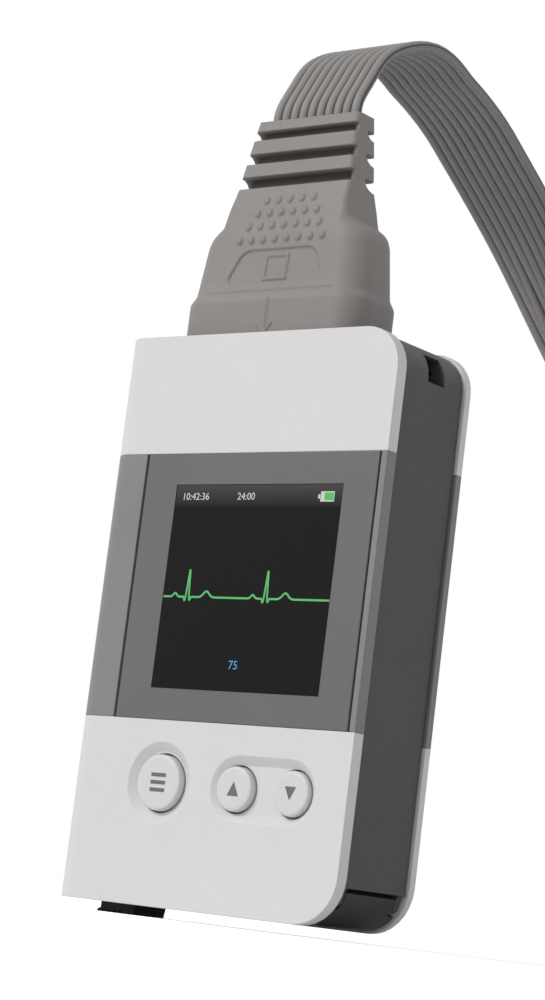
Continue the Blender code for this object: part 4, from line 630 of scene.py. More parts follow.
def skin_outline(points):
    """Depth under the rounded outline, and its outward direction, for each point in (x, z)."""
    upper = points[:, 2] > MID_HEIGHT
    radius = np.where(upper, TOP_CORNER, LOW_CORNER)
    past_x = points[:, 0] - (CASE_SKIN - radius)
    past_z = np.where(upper, points[:, 2] - (SKIN_TOP - radius), SKIN_LOW + radius - points[:, 2])
    corner = (past_x > 0) & (past_z > 0)
    reach = np.maximum(np.hypot(past_x, past_z), TINY)
    sideways = past_x > past_z
    depth = np.where(corner, radius - reach, radius - np.maximum(past_x, past_z))
    out_x = np.where(corner, past_x / reach, sideways)
    out_z = np.where(corner, past_z / reach, ~sideways) * np.where(upper, 1, -1)
    return depth, out_x, out_z


def grown_skin(points):
    """The housing's or door's points, with the outline's skin moved outwards and the rear skin
    rearwards. What turns with the hinge stays inside the hinge's round room."""
    depth, out_x, out_z = skin_outline(points)
    hinge_part = np.hypot(points[:, 0] - HINGE[0], points[:, 2] - HINGE[1]) < HINGE_PARTS
    clear_of_latch = (points[:, 0] > LATCH_END) | (points[:, 2] > MID_HEIGHT)
    on_skin = (depth < NEAR) & (points[:, 0] > SPINE) & clear_of_latch
    points[:, 0] += OUTWARD * on_skin * out_x
    points[:, 2] += OUTWARD * on_skin * out_z
    spoke = points[:, ::2] - HINGE
    reach = np.maximum(np.hypot(spoke[:, 0], spoke[:, 1]), TINY)
    shrink = np.where(hinge_part, np.minimum(HINGE_ROOM / reach, 1), 1)
    points[:, ::2] = HINGE + spoke * shrink[:, None]
    points[:, 1] += REARWARD * (points[:, 1] > CORE_REAR - NEAR)
    return points


def tightened_cover(points):
    """A cover's points, with its seam edge moved to the band and the rear plate's inner face
    moved back."""
    points[:, 2] -= SEAM * (np.abs(points[:, 2] - BAND_HIGH) < ON_FACE)
    points[:, 2] += SEAM * (np.abs(points[:, 2] - BAND_LOW) < ON_FACE)
    points[:, 1] += REARWARD * (np.abs(points[:, 1] - PLATE_REAR) < ON_FACE)
    return points


def reshaped(name, node, change, body, material):
    """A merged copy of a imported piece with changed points, on its body in the piece's place."""
    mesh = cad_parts[node].data.copy()
    mesh.name = name
    work = bmesh.new()
    work.from_mesh(mesh)
    bmesh.ops.remove_doubles(work, verts=work.verts, dist=MERGE)
    work.to_mesh(mesh)
    work.free()
    if "custom_normal" in mesh.attributes:
        mesh.attributes.remove(mesh.attributes["custom_normal"])
    points = np.zeros(len(mesh.vertices) * 3)
    mesh.vertices.foreach_get("co", points)
    moved = from_corner(change(points.reshape(-1, 3) - CORNER))
    mesh.vertices.foreach_set("co", moved.ravel())
    mesh.polygons.foreach_set("use_smooth", np.full(len(mesh.polygons), True))
    mesh.update()
    mesh.set_sharp_from_angle(angle=SKIN_SHARP)
    mesh.materials.clear()
    mesh.materials.append(material)
    obj = add_object(name, mesh)
    shading = obj.modifiers.new("flats_stay_flat", "WEIGHTED_NORMAL")
    shading.weight = 100
    shading.keep_sharp = True
    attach(obj, body)
    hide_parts(node)


print("skin helpers ready")

# %% Covers, band, housing and door
SKINS = (
    ("upper_cover", tightened_cover, "recorder", "cover_white", cover_white),
    ("lower_cover", tightened_cover, "recorder", "cover_white", cover_white),
    ("middle_band", tightened_cover, "recorder", "band_grey", band_grey),
    ("core_housing", grown_skin, "recorder", "core_black", core_black),
    ("battery_door", grown_skin, "door", "door_black", door_black),
)
for node, change, body, slot, material in SKINS:
    reshaped(node + "_skin", node, change, body, material)
print("covers, band, housing and door laid close")

# %% [markdown]
# The plug is a softer, warmer grey-brown with a fine matt skin, moulded in one with its
# ribbed strain relief, and the snaps at the wires' ends are the same. The wires are sleeved
# in a slightly lighter grey with the faint streaks that drawing through a die leaves, which
# run along each wire by its own map.

# %% Plug, snaps and wires
PLUG_COLOUR = (0.250, 0.234, 0.226)
STREAKS = (9, 45, 1)
# The next three values set painted shade on the wires: where neighbours touch, and how dark.
TOUCH_FROM = 0.45
TOUCH_TO = 0.98
GAP_SHADE_TONE = 0.16
SLEEVE_GRAIN = 5200
plug_grey = moulded("plug_grey", PLUG_COLOUR, rough=0.58, grain=2600, depth=0.00003)
snap_grey = moulded("snap_grey", (0.250, 0.235, 0.226), rough=0.55, depth=0.00003, edge=0.0004)


def sleeved(name, colour, rough=0.55):
    """Wire sleeve: streaks along it from stretched noise, a fine skin, and painted shade where
    neighbours touch.

    The touching sides are at 0 and one half of the way round, so the painted shade rises with
    the cosine of twice that turn, from TOUCH_FROM to TOUCH_TO."""
    material, tree, shader, place = begin_material(name, rough, specular=0.35)
    map_node = add_node(tree, "ShaderNodeUVMap", (("uv_map", "along_wire"),))
    stretch = add_node(tree, "ShaderNodeMapping", values=(("Scale", STREAKS),))
    tree.links.new(map_node.outputs[0], stretch.inputs["Vector"])
    streak = noise(tree, stretch.outputs[0], 1.0, 3)
    tone = remap(tree, streak, 0.0, 1.0)
    streaked = blend_colours(tree, tone, shade(colour, 0.92), shade(colour, 1.06))
    share = along_axis(tree, map_node.outputs[0], "X")
    cosine = calculate(tree, "COSINE", calculate(tree, "MULTIPLY", share, 4 * math.pi))
    # Painted shade: the touching sides are coloured darker, standing in for the shadow in the gaps
    # between wires.
    touch = remap(tree, cosine, 0.0, 1.0, TOUCH_FROM, TOUCH_TO)
    painted_gap_shade = blend_colours(tree, touch, streaked, shade(colour, GAP_SHADE_TONE))
    tree.links.new(painted_gap_shade, shader.inputs["Base Color"])
    skin = noise(tree, place, SLEEVE_GRAIN, 2)
    tree.links.new(remap(tree, skin, rough - 0.06, rough + 0.06), shader.inputs["Roughness"])
    add_bump(tree, shader, skin, 0.3, 0.00002)
    return material


cable_grey = sleeved("cable_grey", (0.270, 0.258, 0.250))
dress([f"lead_snap_{number + 1}" for number in range(WIRES)], snap_grey)
for wire in wires:
    wire.data.materials.append(cable_grey)
print("plug and cable finishes done")

# %% [markdown]
# The plug's overmould is one soft moulding: a flange, a thick body, a shoulder and a long
# strain relief with grooves cut into its front and rear halves, so that it can bend. Its
# skin is a grid of heights against places round it. Each height has a rounded rectangle
# whose sizes come from a profile, ironed a little so that no edge is knife sharp. A row of
# the profile holds, in millimetres, the height over the plug's bottom, half the width, half
# the depth, the corner's radius and the shift to the right.
#
# A groove pulls its stretch of the ring in towards a smaller rectangle. It stops short of
# one side and is scooped out round the other, and the rear grooves are the front ones
# turned half round. The sunk panel, the plain square, the arrow and the grip bumps push
# the front in or out by a soft step or a dome.

# %% Heights and profile of the plug
PLUG_TALL = 0.0410
PLUG_TOP = 41.4
PLUG_BOTTOM = PLUG - np.array((0, 0, PLUG_TALL))
IRON_REACH = 0.4
IRON_SPOTS = 9
PLUG_PROFILE = (
    (0.0, 19.20, 7.30, 4.9, -0.46),
    (7.6, 19.20, 7.30, 4.9, -0.46),
    (8.5, 18.75, 6.95, 4.9, -0.46),
    (9.2, 18.45, 6.75, 4.9, -0.46),
    (10.6, 18.45, 6.55, 5.0, -0.46),
    (18.2, 17.75, 5.95, 4.9, -0.46),
    (19.6, 17.30, 5.80, 4.9, -0.46),
    (20.5, 16.40, 5.65, 4.5, -0.46),
    (21.6, 14.50, 5.40, 3.2, -0.46),
    (22.4, 13.65, 5.20, 1.7, -0.46),
    (23.0, 13.35, 5.10, 1.3, -0.46),
    (25.3, 12.90, 4.75, 1.1, -0.46),
    (27.3, 12.65, 4.10, 1.0, -0.46),
    (28.9, 12.45, 3.70, 0.9, -0.46),
    (33.7, 11.95, 3.25, 0.9, -0.26),
    (38.0, 11.45, 2.85, 0.9, -0.06),
    (PLUG_TOP, 11.05, 2.45, 0.8, 0.10),
)
LEVEL_RUNS = ((0, 1, 4), (1, 9, 51), (9, 22, 81), (22, 28, 35), (28, PLUG_TOP, 97))
level_runs = [np.linspace(low, high, steps, endpoint=False) for low, high, steps in LEVEL_RUNS]
plug_levels = np.concatenate([*level_runs, [PLUG_TOP]])


def profile_at(levels, column):
    """A column of the profile at each level: straight between its rows, and the mean of nine
    spots that reach IRON_REACH down and up."""
    rows = np.array(PLUG_PROFILE)
    near = np.linspace(-IRON_REACH, IRON_REACH, IRON_SPOTS)
    spots = np.clip(levels[:, None] + near[None, :], 0, PLUG_TOP)
    return np.interp(spots, rows[:, 0], rows[:, column]).mean(axis=1)


profile = [profile_at(plug_levels, column) for column in range(1, 5)]
plug_width, plug_depth, plug_corner, plug_shift = profile
print("plug levels:", len(plug_levels), "widest", float(plug_width.max()) * 2, "mm")

# %% Rings of the plug
FRONT_PLACES = 196
BEND_PLACES = 14
SIDE_PLACES = 22
REAR_PLACES = 54


def soft_step(x, width):
    """0 below minus the width, 1 above plus the width, 3t2 - 2t3 between."""
    return ease(x, -width, width)


def ring_of(width, depth, corner):
    """Rounded rectangles as arrays (level, place): front, right, rear, left, a corner after each.

    Each straight edge lies the corner's radius outside the inner rectangle u by v, and each
    corner is a quarter of a circle: the radius times cosine and sine round the inner corner."""
    u, v = width - corner, depth - corner
    edges = (
        (-u, -v, u, -v, FRONT_PLACES),
        (u, -v, u, v, SIDE_PLACES),
        (u, v, -u, v, REAR_PLACES),
        (-u, v, -u, -v, SIDE_PLACES),
    )
    xs, ys = [], []
    for turn, (x0, y0, x1, y1, count) in enumerate(edges):
        outward = math.radians(90 * turn - 90)
        t = np.arange(count) / (count - 1)
        xs.append(x0[:, None] + (x1 - x0)[:, None] * t + corner[:, None] * math.cos(outward))
        ys.append(y0[:, None] + (y1 - y0)[:, None] * t + corner[:, None] * math.sin(outward))
        angles = outward + math.pi / 2 * np.arange(1, BEND_PLACES + 1) / (BEND_PLACES + 1)
        xs.append(x1[:, None] + corner[:, None] * np.cos(angles))
        ys.append(y1[:, None] + corner[:, None] * np.sin(angles))
    return np.hstack(xs), np.hstack(ys)


print("ring helper ready")

# %% Grooves of the strain relief
GROOVES = ((28.90, 30.90), (33.55, 35.25), (38.00, 39.45))
GROOVE_DEPTH = 1.8
GROOVE_FLOOR = 0.42
GROOVE_SOFT = 0.09
HALF_SOFT = 0.10
CORNER_LOSS = 0.5
LEAST_CORNER = 0.4
REAR_DROP = 0.75
OPEN_END = 0.22
SHUT_END = 0.84
outer_x, outer_y = ring_of(plug_width, plug_depth, plug_corner)
inner_corner = np.clip(plug_corner - CORNER_LOSS, LEAST_CORNER, None)
inner_x, inner_y = ring_of(plug_width - GROOVE_DEPTH, plug_depth * GROOVE_FLOOR, inner_corner)
level_grid = np.broadcast_to(plug_levels[:, None], outer_x.shape)
pull = np.zeros_like(outer_x)
for low, high in GROOVES:
    for sign, drop in ((-1, 0.0), (1, REAR_DROP)):
        over_low = soft_step(level_grid - low + drop, GROOVE_SOFT)
        under_high = soft_step(high - drop - level_grid, GROOVE_SOFT)
        band = over_low * under_high
        way_up = np.clip((level_grid - low + drop) / (high - low), 0, 1)
        scoop = np.sqrt(1 - (way_up if sign < 0 else 1 - way_up) ** 2)
        end = np.where(sign * outer_x > 0, 1 - (1 - OPEN_END) * scoop, SHUT_END)
        half = soft_step(sign * outer_y / plug_depth[:, None] - end, HALF_SOFT)
        pull = np.maximum(pull, band * half)
plug_x = outer_x + pull * (inner_x - outer_x) + plug_shift[:, None]
plug_y = outer_y + pull * (inner_y - outer_y)
deepest = round(float((outer_x - inner_x).max()), 2)
print("plug ring points:", plug_x.shape[1], "deepest groove", deepest, "mm")

# %% Panel, square, arrow and bumps on the plug's front
PANEL = ((-10.58, 10.8), (10.58, 10.8), (7.98, 16.7), (-7.60, 16.7))
PANEL_CORNER = 1.5
PANEL_SINK = 0.34
PANEL_SOFT = 0.10
SQUARE_LEVEL = 13.5
SQUARE_ACROSS = 2.6
SQUARE_UP = 2.4
SQUARE_LINE = 0.6
SQUARE_STAND = 0.28
STROKE_SOFT = 0.08
CREASE_LEVEL = 9.0
CREASE_SINK = 0.16
CREASE_WIDTH = 0.22
ARROW = (((0.0, 1.3), (0.0, 7.6)), ((0.0, 1.3), (1.5, 3.4)), ((0.0, 1.3), (-1.5, 3.4)))
ARROW_STAND = 0.22
ARROW_HALF = 0.26
BUMP_ROWS = ((26.0, 5), (23.6, 6), (21.15, 7), (18.6, 8))
BUMP_SPACING = 2.56
BUMP_SHIFT = 0.2
BUMP_RADIUS = 0.66
BUMP_SQUASH = 0.85
BUMP_STAND = 0.44
FRONT_BAND = 0.02


def inside_panel(x, z):
    """Distance inside the panel's edge: each edge's line moved in by the corner's radius, then
    rounded out again by the root of the squares of what lies past them."""
    corners = np.array(PANEL)
    past = []
    for start, end in zip(corners, np.roll(corners, -1, axis=0)):
        way = (end - start) / np.linalg.norm(end - start)
        past.append(way[1] * (x - start[0]) - way[0] * (z - start[1]) + PANEL_CORNER)
    return PANEL_CORNER - np.sqrt(sum(np.clip(edge, 0, None) ** 2 for edge in past))


def near_line(x, z, start, end):
    """Distance from a straight stroke: to the nearest point of it."""
    start, way = np.array(start), np.array(end) - np.array(start)
    t = np.clip(((x - start[0]) * way[0] + (z - start[1]) * way[1]) / way.dot(way), 0, 1)
    return np.hypot(x - start[0] - t * way[0], z - start[1] - t * way[1])


fore = (outer_y <= -plug_depth[:, None] + FRONT_BAND).astype(float)
lift = -PANEL_SINK * soft_step(inside_panel(plug_x, level_grid), PANEL_SOFT)
square = np.maximum(
    np.abs(plug_x) - SQUARE_ACROSS, np.abs(level_grid - SQUARE_LEVEL) - SQUARE_UP
)
inside_line = soft_step(-square, STROKE_SOFT) * soft_step(square + SQUARE_LINE, STROKE_SOFT)
lift = lift + SQUARE_STAND * inside_line
lift = lift - CREASE_SINK * np.exp(-(((level_grid - CREASE_LEVEL) / CREASE_WIDTH) ** 2))
arrow = np.min([near_line(plug_x, level_grid, start, end) for start, end in ARROW], axis=0)
lift = lift + ARROW_STAND * soft_step(ARROW_HALF - arrow, STROKE_SOFT)
for level, count in BUMP_ROWS:
    for across in (np.arange(count) - (count - 1) / 2) * BUMP_SPACING + BUMP_SHIFT:
        reach = np.hypot(plug_x - across, (level_grid - level) * BUMP_SQUASH) / BUMP_RADIUS
        lift = lift + BUMP_STAND * np.sqrt(np.clip(1 - reach**2, 0, None))
plug_y = plug_y - fore * lift
print("front of the plug stands and sinks by", np.round((lift.max(), lift.min()), 2), "mm")

# %% Plug moulding
PLUG_SHARP = math.radians(60)
# Painted shade: the tone to which the grooves of the strain relief are darkened.
GROOVE_SHADE_TONE = 0.30
plug_points = np.stack([plug_x, plug_y, level_grid], axis=2).reshape(-1, 3) / 1000 + PLUG_BOTTOM
plug = add_mesh("plug_moulding", plug_points, grid_faces(len(plug_levels), plug_x.shape[1]))
plug.data.set_sharp_from_angle(angle=PLUG_SHARP)
# Painted shade: where the groove's pull is 1, the plug's colour is made darker, standing in for
# the shadow inside the grooves.
groove_shade_mask = plug.data.attributes.new("groove_shade_mask", "FLOAT", "POINT")
groove_shade_mask.data.foreach_set("value", pull.ravel())
plug.data.materials.append(with_painted_shade(plug_grey, "groove_shade_mask", PLUG_COLOUR, GROOVE_SHADE_TONE))
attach(plug, "recorder")
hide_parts("plug_overmould")
print("plug faces:", len(plug.data.polygons))

# %% [markdown]
# Inside are the pieces that show when the battery door swings open, or when someone takes
# the model apart: the cell with its sleeve, nickel-plated contacts, the green board, tinned
# cans and black chips.

# %% Cell sleeve and board
BAND_START = 0.0130
SLEEVE_DARK = (0.050, 0.052, 0.058, 1)
SLEEVE_WORN = (0.070, 0.073, 0.080, 1)
BAND_TONE = (0.46, 0.45, 0.42, 1)
LACQUER = (0.010, 0.075, 0.030, 1)
TRACK = (0.018, 0.120, 0.048, 1)


def sleeve_of_cell():
    """Grey scuffed sleeve, with a pale tone from a step along X on for the nub end's band."""
    material, tree, shader, place = begin_material("cell_grey", 0.32, specular=0.5)
    step = calculate(tree, "GREATER_THAN", along_axis(tree, place, "X"), BAND_START)
    scuff = noise(tree, place, 420, 4)
    body = blend_colours(tree, remap(tree, scuff, 0.0, 1.0), SLEEVE_DARK, SLEEVE_WORN)
    tree.links.new(blend_colours(tree, step, body, BAND_TONE), shader.inputs["Base Color"])
    tree.links.new(remap(tree, scuff, 0.24, 0.42), shader.inputs["Roughness"])
    return material


def solder_mask():
    """Green lacquer over copper: tracks as bands of a wave, a little lighter than the ground."""
    material, tree, shader, place = begin_material("board_green", 0.35, specular=0.5)
    values = (("Scale", 260.0), ("Distortion", 6.0), ("Detail", 1.0), ("Detail Scale", 0.6))
    wave = add_node(tree, "ShaderNodeTexWave", values=values)
    tree.links.new(place, wave.inputs["Vector"])
    track = remap(tree, wave.outputs["Fac"], 0.0, 1.0)
    tree.links.new(blend_colours(tree, track, LACQUER, TRACK), shader.inputs["Base Color"])
    add_bump(tree, shader, wave.outputs["Fac"], 0.3, 0.00003)
    return material


dress(("battery_cell",), sleeve_of_cell())
dress(("main_board",), solder_mask())
print("cell and board finishes done")

# %% Metals inside
contact_nickel = metal("contact_nickel", (0.66, 0.64, 0.60), rough=0.25)
can_tin = metal("can_tin", (0.62, 0.62, 0.61), rough=0.34, brush=(60, 900, 900))
pin_steel = metal("pin_steel", (0.30, 0.30, 0.30), rough=0.32, brush=(900, 60, 900))
screw_zinc = metal("screw_zinc", (0.42, 0.42, 0.43), rough=0.36)
frame_sheet = metal("frame_sheet", (0.50, 0.50, 0.50), rough=0.38, brush=(60, 900, 900))
switch_steel = metal("switch_steel", (0.55, 0.55, 0.54), rough=0.30)
dress(("battery_spring", "battery_plate"), contact_nickel)
dress(("front_end_shield",), can_tin)
dress(("lanyard_bar", "door_hinge_pin"), pin_steel)
dress([f"board_screw_{number}" for number in range(1, 5)], screw_zinc)
dress(("display_frame", "card_socket"), frame_sheet)
dress(("menu_switch", "up_switch", "down_switch"), switch_steel)
print("metals done")

# %% Dark and white inner pieces
chip_black = moulded("chip_black", (0.020, 0.020, 0.021), rough=0.42, grain=5200, depth=0.00001)
card_black = moulded("card_black", (0.014, 0.014, 0.015), rough=0.34, grain=2400, depth=0.000004)
socket_black = moulded("socket_black", (0.022, 0.022, 0.022), rough=0.50)
tie_black = moulded("tie_black", (0.016, 0.016, 0.016), rough=0.38, grain=1800, depth=0.000006)
tray_white = moulded("tray_white", (0.72, 0.72, 0.71), rough=0.55, wander=0.01)
panel_dark = moulded(
    "display_glass", (0.016, 0.016, 0.018), rough=0.12, grain=1500, depth=0.000002, specular=0.5
)
dress(("processor",), chip_black)
dress(("memory_card",), card_black)
dress(("patient_socket", "plug_insert"), socket_black)
dress(("cable_tie",), tie_black)
dress(("backlight_tray",), tray_white)
dress(("display_panel",), panel_dark)
print("inner finishes done")

# %% [markdown]
# The window is a thin painted plate that lies in the band's bed and all but meets the two
# covers. In the part it is a plain plate with play round it. Here it is made to the size
# that the eye sees, with a hairline to each cover, and a Bevel modifier rounds its edges,
# because a real plate has a small radius there that catches the light.

# %% Helpers for thin plates
EDGE_SHARP = math.radians(50)
EDGE_STEPS = 2


def plate(name, outline, front, thickness):
    """A thin closed plate: one outline of (x, z) points from the case's corner, at two depths."""
    outline = np.asarray(outline, float)
    count = len(outline)
    rear_points = np.insert(outline, 1, front + thickness, axis=1)
    front_points = np.insert(outline, 1, front, axis=1)
    k = np.arange(count)
    following = (k + 1) % count
    walls = np.stack([k, following, following + count, k + count], axis=1)
    faces = [k[::-1], *walls, count + k]
    points = from_corner(np.vstack([rear_points, front_points]))
    return add_mesh(name, points, faces, smooth_faces=False)


def rectangle(left, right, low, high):
    """Four corners of an upright rectangle."""
    return [(left, low), (right, low), (right, high), (left, high)]


def rounded_edges(piece, width):
    """A Bevel modifier on a plate's edges."""
    bevel = piece.modifiers.new("edges", "BEVEL")
    bevel.width = width
    bevel.segments = EDGE_STEPS
    bevel.limit_method = "ANGLE"
    piece.data.polygons.foreach_set("use_smooth", np.full(len(piece.data.polygons), True))
    piece.data.set_sharp_from_angle(angle=EDGE_SHARP)
    return piece


print("plate helpers ready")

# %% Window plate
WINDOW_LEFT = 0.0093
WINDOW_RIGHT = 0.0584
WINDOW_LOW = 0.03088
WINDOW_HIGH = 0.07640
WINDOW_FACE = 0.00005
WINDOW_THICK = 0.0010
WINDOW_EDGE = 0.00014
window_outline = rectangle(WINDOW_LEFT, WINDOW_RIGHT, WINDOW_LOW, WINDOW_HIGH)
window_blank = plate("window_plate", window_outline, WINDOW_FACE, WINDOW_THICK)
window = rounded_edges(window_blank, WINDOW_EDGE)
window.data.materials.append(window_grey)
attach(window, "recorder")
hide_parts("display_window")
window_size = (WINDOW_RIGHT - WINDOW_LEFT, WINDOW_HIGH - WINDOW_LOW)
print("window plate:", np.round(window_size, 4), "m")

# %% [markdown]
# The display shows through the window. What it shows is laid on the window as thin inked
# plates a few hundredths of a millimetre high: the dark picture area first, then the trace,
# the level marks and the plain numbers on top. The area's own shader makes the paler bar
# along its top and the fine rows that a real panel has.

# %% Lit picture area
SCREEN_LEFT = 0.01658
SCREEN_RIGHT = 0.05183
SCREEN_LOW = 0.03625
SCREEN_HIGH = 0.07089
BAR_FADE = 0.0040
BAR_TALL = 0.0037
# Reach of a near-black sheet past the picture area, as left, right, low and high: a thin dark rim
# all round, widened on the left and top by painted shadow of the recess.
RIM_AND_SHADOW = np.array((-0.00022, 0.00005, -0.00005, 0.00012))
LAYER = 0.00002
ROW_SCALE = 900.0
SCREEN_DARK = (0.0052, 0.0051, 0.0052, 1)
SCREEN_ROW = (0.0072, 0.0071, 0.0072, 1)
BAR_DARK = (0.010, 0.010, 0.010, 1)
BAR_PALE = (0.062, 0.060, 0.058, 1)


def lit(name, colour, strength):
    """An inked or glowing mark: emission carries the colour, with dots that vary it a little."""
    material, tree, shader, place = begin_material(name, 0.35, specular=0.3)
    dots = noise(tree, place, 5000, 1)
    shader.inputs["Base Color"].default_value = (0.012, 0.012, 0.012, 1)
    tone = remap(tree, dots, 0.0, 1.0)
    glow = blend_colours(tree, tone, shade(colour, 0.90), shade(colour, 1.0))
    tree.links.new(glow, shader.inputs["Emission Color"])
    shader.inputs["Emission Strength"].default_value = strength
    return material


def picture_area():
    """Dark glass with a faint glow, a grey bar that fades down from the top, and fine rows."""
    material, tree, shader, place = begin_material("picture_dark", 0.30, specular=0.06)
    level = along_axis(tree, place, "Z")
    top = float(CORNER[2] + SCREEN_HIGH)
    fade = remap(tree, level, 0.0, 1.0, top - BAR_FADE, top)
    step = calculate(tree, "GREATER_THAN", level, top - BAR_TALL)
    bar = blend_colours(tree, fade, BAR_DARK, BAR_PALE)
    upwards = (("bands_direction", "Z"),)
    rows = add_node(tree, "ShaderNodeTexWave", upwards, (("Scale", ROW_SCALE),))
    tree.links.new(place, rows.inputs["Vector"])
    dark = blend_colours(tree, rows.outputs["Fac"], SCREEN_DARK, SCREEN_ROW)
    glow = blend_colours(tree, step, dark, bar)
    shader.inputs["Base Color"].default_value = (0.006, 0.006, 0.006, 1)
    tree.links.new(glow, shader.inputs["Emission Color"])
    shader.inputs["Emission Strength"].default_value = 1.0
    return material


def ride_recorder(piece, material):
    """A display piece moves with the recorder and takes its material."""
    piece.data.materials.append(material)
    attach(piece, "recorder")


screen_box = np.array((SCREEN_LEFT, SCREEN_RIGHT, SCREEN_LOW, SCREEN_HIGH))
picture = plate("screen_picture", rectangle(*screen_box), WINDOW_FACE - LAYER, LAYER / 2)
ride_recorder(picture, picture_area())
# Near-black sheet round the picture: a thin dark rim, with painted shadow of the window's edge
# over the recessed display on the left and top.
rim_and_shadow_black = moulded(
    "rim_and_shadow_black", (0.006, 0.006, 0.006), rough=0.45, grain=2400, depth=0.000004, specular=0.1
)
rim_and_shadow_outline = rectangle(*(screen_box + RIM_AND_SHADOW))
rim_and_shadow = plate("screen_rim_and_shadow", rim_and_shadow_outline, WINDOW_FACE - LAYER / 2, LAYER / 4)
ride_recorder(rim_and_shadow, rim_and_shadow_black)
print("picture area:", np.round(screen_box[1::2] - screen_box[::2], 4), "m")

# %% [markdown]
# The trace of two heart beats is a formula: a flat line plus, for each beat, five bell
# curves for the small first wave, the dip, the spike, the second dip and the round last
# wave. The strip keeps its width across its own direction, so the spike is as thick as
# the flat line.

# %% Pulse trace
BEATS = (0.0218, 0.0386)
BASE_LINE = 0.05175
WAVES = (
    (-0.00270, 0.00060, 0.00050),
    (-0.00050, -0.00070, 0.00018),
    (0.00000, 0.00470, 0.00024),
    (0.00050, -0.00060, 0.00020),
    (0.00410, 0.00100, 0.00085),
)
TRACE_WIDTH = 0.00034
TRACE_POINTS = 700
MARK_FACE = WINDOW_FACE - 2 * LAYER


def strip_along(points, width):
    """Low and high edges of a strip: each point minus and plus half the width along its normal."""
    way = np.gradient(points, axis=0)
    way = way / np.linalg.norm(way, axis=1)[:, None]
    normal = np.stack([-way[:, 1], way[:, 0]], axis=1)
    return np.stack([points - normal * width / 2, points + normal * width / 2], axis=1)


def strip_plate(name, points, width, front, thickness):
    """A thin closed strip of quads along a line of (x, z) points: at each point a section of
    four corners, the two edges in front and the same two behind."""
    edges = strip_along(points, width)
    fore = np.insert(edges, 1, front, axis=2)
    rear = np.insert(edges, 1, front + thickness, axis=2)
    section = np.concatenate([fore, rear[:, ::-1]], axis=1)
    faces = grid_faces(len(points), 4)
    return add_mesh(name, from_corner(section.reshape(-1, 3)), faces, smooth_faces=False)


x = np.linspace(SCREEN_LEFT, SCREEN_RIGHT, TRACE_POINTS)
z = np.full_like(x, BASE_LINE)
for beat in BEATS:
    for lag, tall, wide in WAVES:
        z = z + tall * np.exp(-(((x - beat - lag) / wide) ** 2))
beats_line = np.stack([x, z], axis=1)
trace = strip_plate("pulse_trace", beats_line, TRACE_WIDTH, MARK_FACE, LAYER / 2)
ride_recorder(trace, lit("trace_green", (0.10, 0.55, 0.16), 0.9))
print("trace points:", len(x))

# %% [markdown]
# The bar at the top of the display holds a clock in plain numbers and a level mark for the
# cell: a pale case, a green filling and a small nub. A plain number stands low in the
# picture. The figures come from Blender's own font as curves, made into meshes.

# %% Helper for plain figures
CURVE_SIZE = 1.38


def figures(name, text, left, low, tall, front):
    """Plain figures as a thin mesh: a text curve whose size is CURVE_SIZE times the figures'
    height, turned upright and moved to its place."""
    curve = bpy.data.curves.new(name, "FONT")
    curve.body = text
    curve.size = tall * CURVE_SIZE
    curve.extrude = LAYER / 4
    curve.resolution_u = 4
    text_object = add_object(name + "_curve", curve)
    graph = bpy.context.evaluated_depsgraph_get()
    mesh = bpy.data.meshes.new_from_object(text_object.evaluated_get(graph))
    bpy.data.objects.remove(text_object)
    points = np.zeros(len(mesh.vertices) * 3)
    mesh.vertices.foreach_get("co", points)
    points = points.reshape(-1, 3)
    points = points - np.array((points[:, 0].min(), 0, 0))
    upright = np.stack([points[:, 0] + left, front - points[:, 2], points[:, 1] + low], axis=1)
    mesh.vertices.foreach_set("co", from_corner(upright).ravel())
    mesh.update()
    mesh.name = name
    return add_object(name, mesh)


print("figure helper ready")

# %% Numbers and level mark
pale_ink = lit("figures_pale", (0.62, 0.62, 0.62), 1.0)
blue_ink = lit("figure_blue", (0.06, 0.33, 0.72), 1.0)
green_ink = lit("level_green", (0.08, 0.50, 0.10), 1.0)
FIGURES = (
    ("clock_figures", "10:42:36", 0.0183, 0.06835, 0.00125, pale_ink),
    ("day_figures", "24:00", 0.0300, 0.06835, 0.00125, pale_ink),
    ("low_figure", "75", 0.0326, 0.0399, 0.00150, blue_ink),
)
LEVEL_PLATES = (
    ("level_case", (0.0475, 0.0503, 0.0680, 0.0697), MARK_FACE, pale_ink),
    ("level_nub", (0.0470, 0.0474, 0.0685, 0.0692), MARK_FACE, pale_ink),
    ("level_fill", (0.0483, 0.0502, 0.0682, 0.0695), WINDOW_FACE - 3 * LAYER, green_ink),
)
for name, text, left, low, tall, colour in FIGURES:
    ride_recorder(figures(name, text, left, low, tall, MARK_FACE), colour)
for name, box, front, colour in LEVEL_PLATES:
    ride_recorder(plate(name, rectangle(*box), front, LAYER / 2), colour)
print("display figures done:", len(FIGURES), "numbers,", len(LEVEL_PLATES), "level plates")

# %% [markdown]
# The keys carry printed marks in dark grey: a triangle up, a triangle down and three short
# bars for the menu. Each mark is a thin inked plate on its key, and moves with it.

# %% Key marks
KEY_LEVEL = 0.02045
KEY_FACE = -0.0002
MENU_LEFT = 0.0192
MENU_RIGHT = 0.0224
MENU_PITCH = 0.00125
MENU_HALF = 0.00032


def ink(name, colour):
    """Pad-printed ink: a flat dark grey with a slight break-up from the grain under it."""
    material, tree, shader, place = begin_material(name, 0.5, specular=0.3)
    grain = noise(tree, place, 3200, 3)
    tone = remap(tree, grain, 0.0, 1.0)
    mixed = blend_colours(tree, tone, shade(colour, 0.9), shade(colour, 1.12))
    tree.links.new(mixed, shader.inputs["Base Color"])
    return material


def triangle(middle, half, tall, points_up):
    """Three corners, point up or down, centred on the key."""
    sign = 1 if points_up else -1
    foot = KEY_LEVEL - sign * tall / 2
    tip = (middle, foot + sign * tall)
    return [(middle - sign * half, foot), (middle + sign * half, foot), tip]


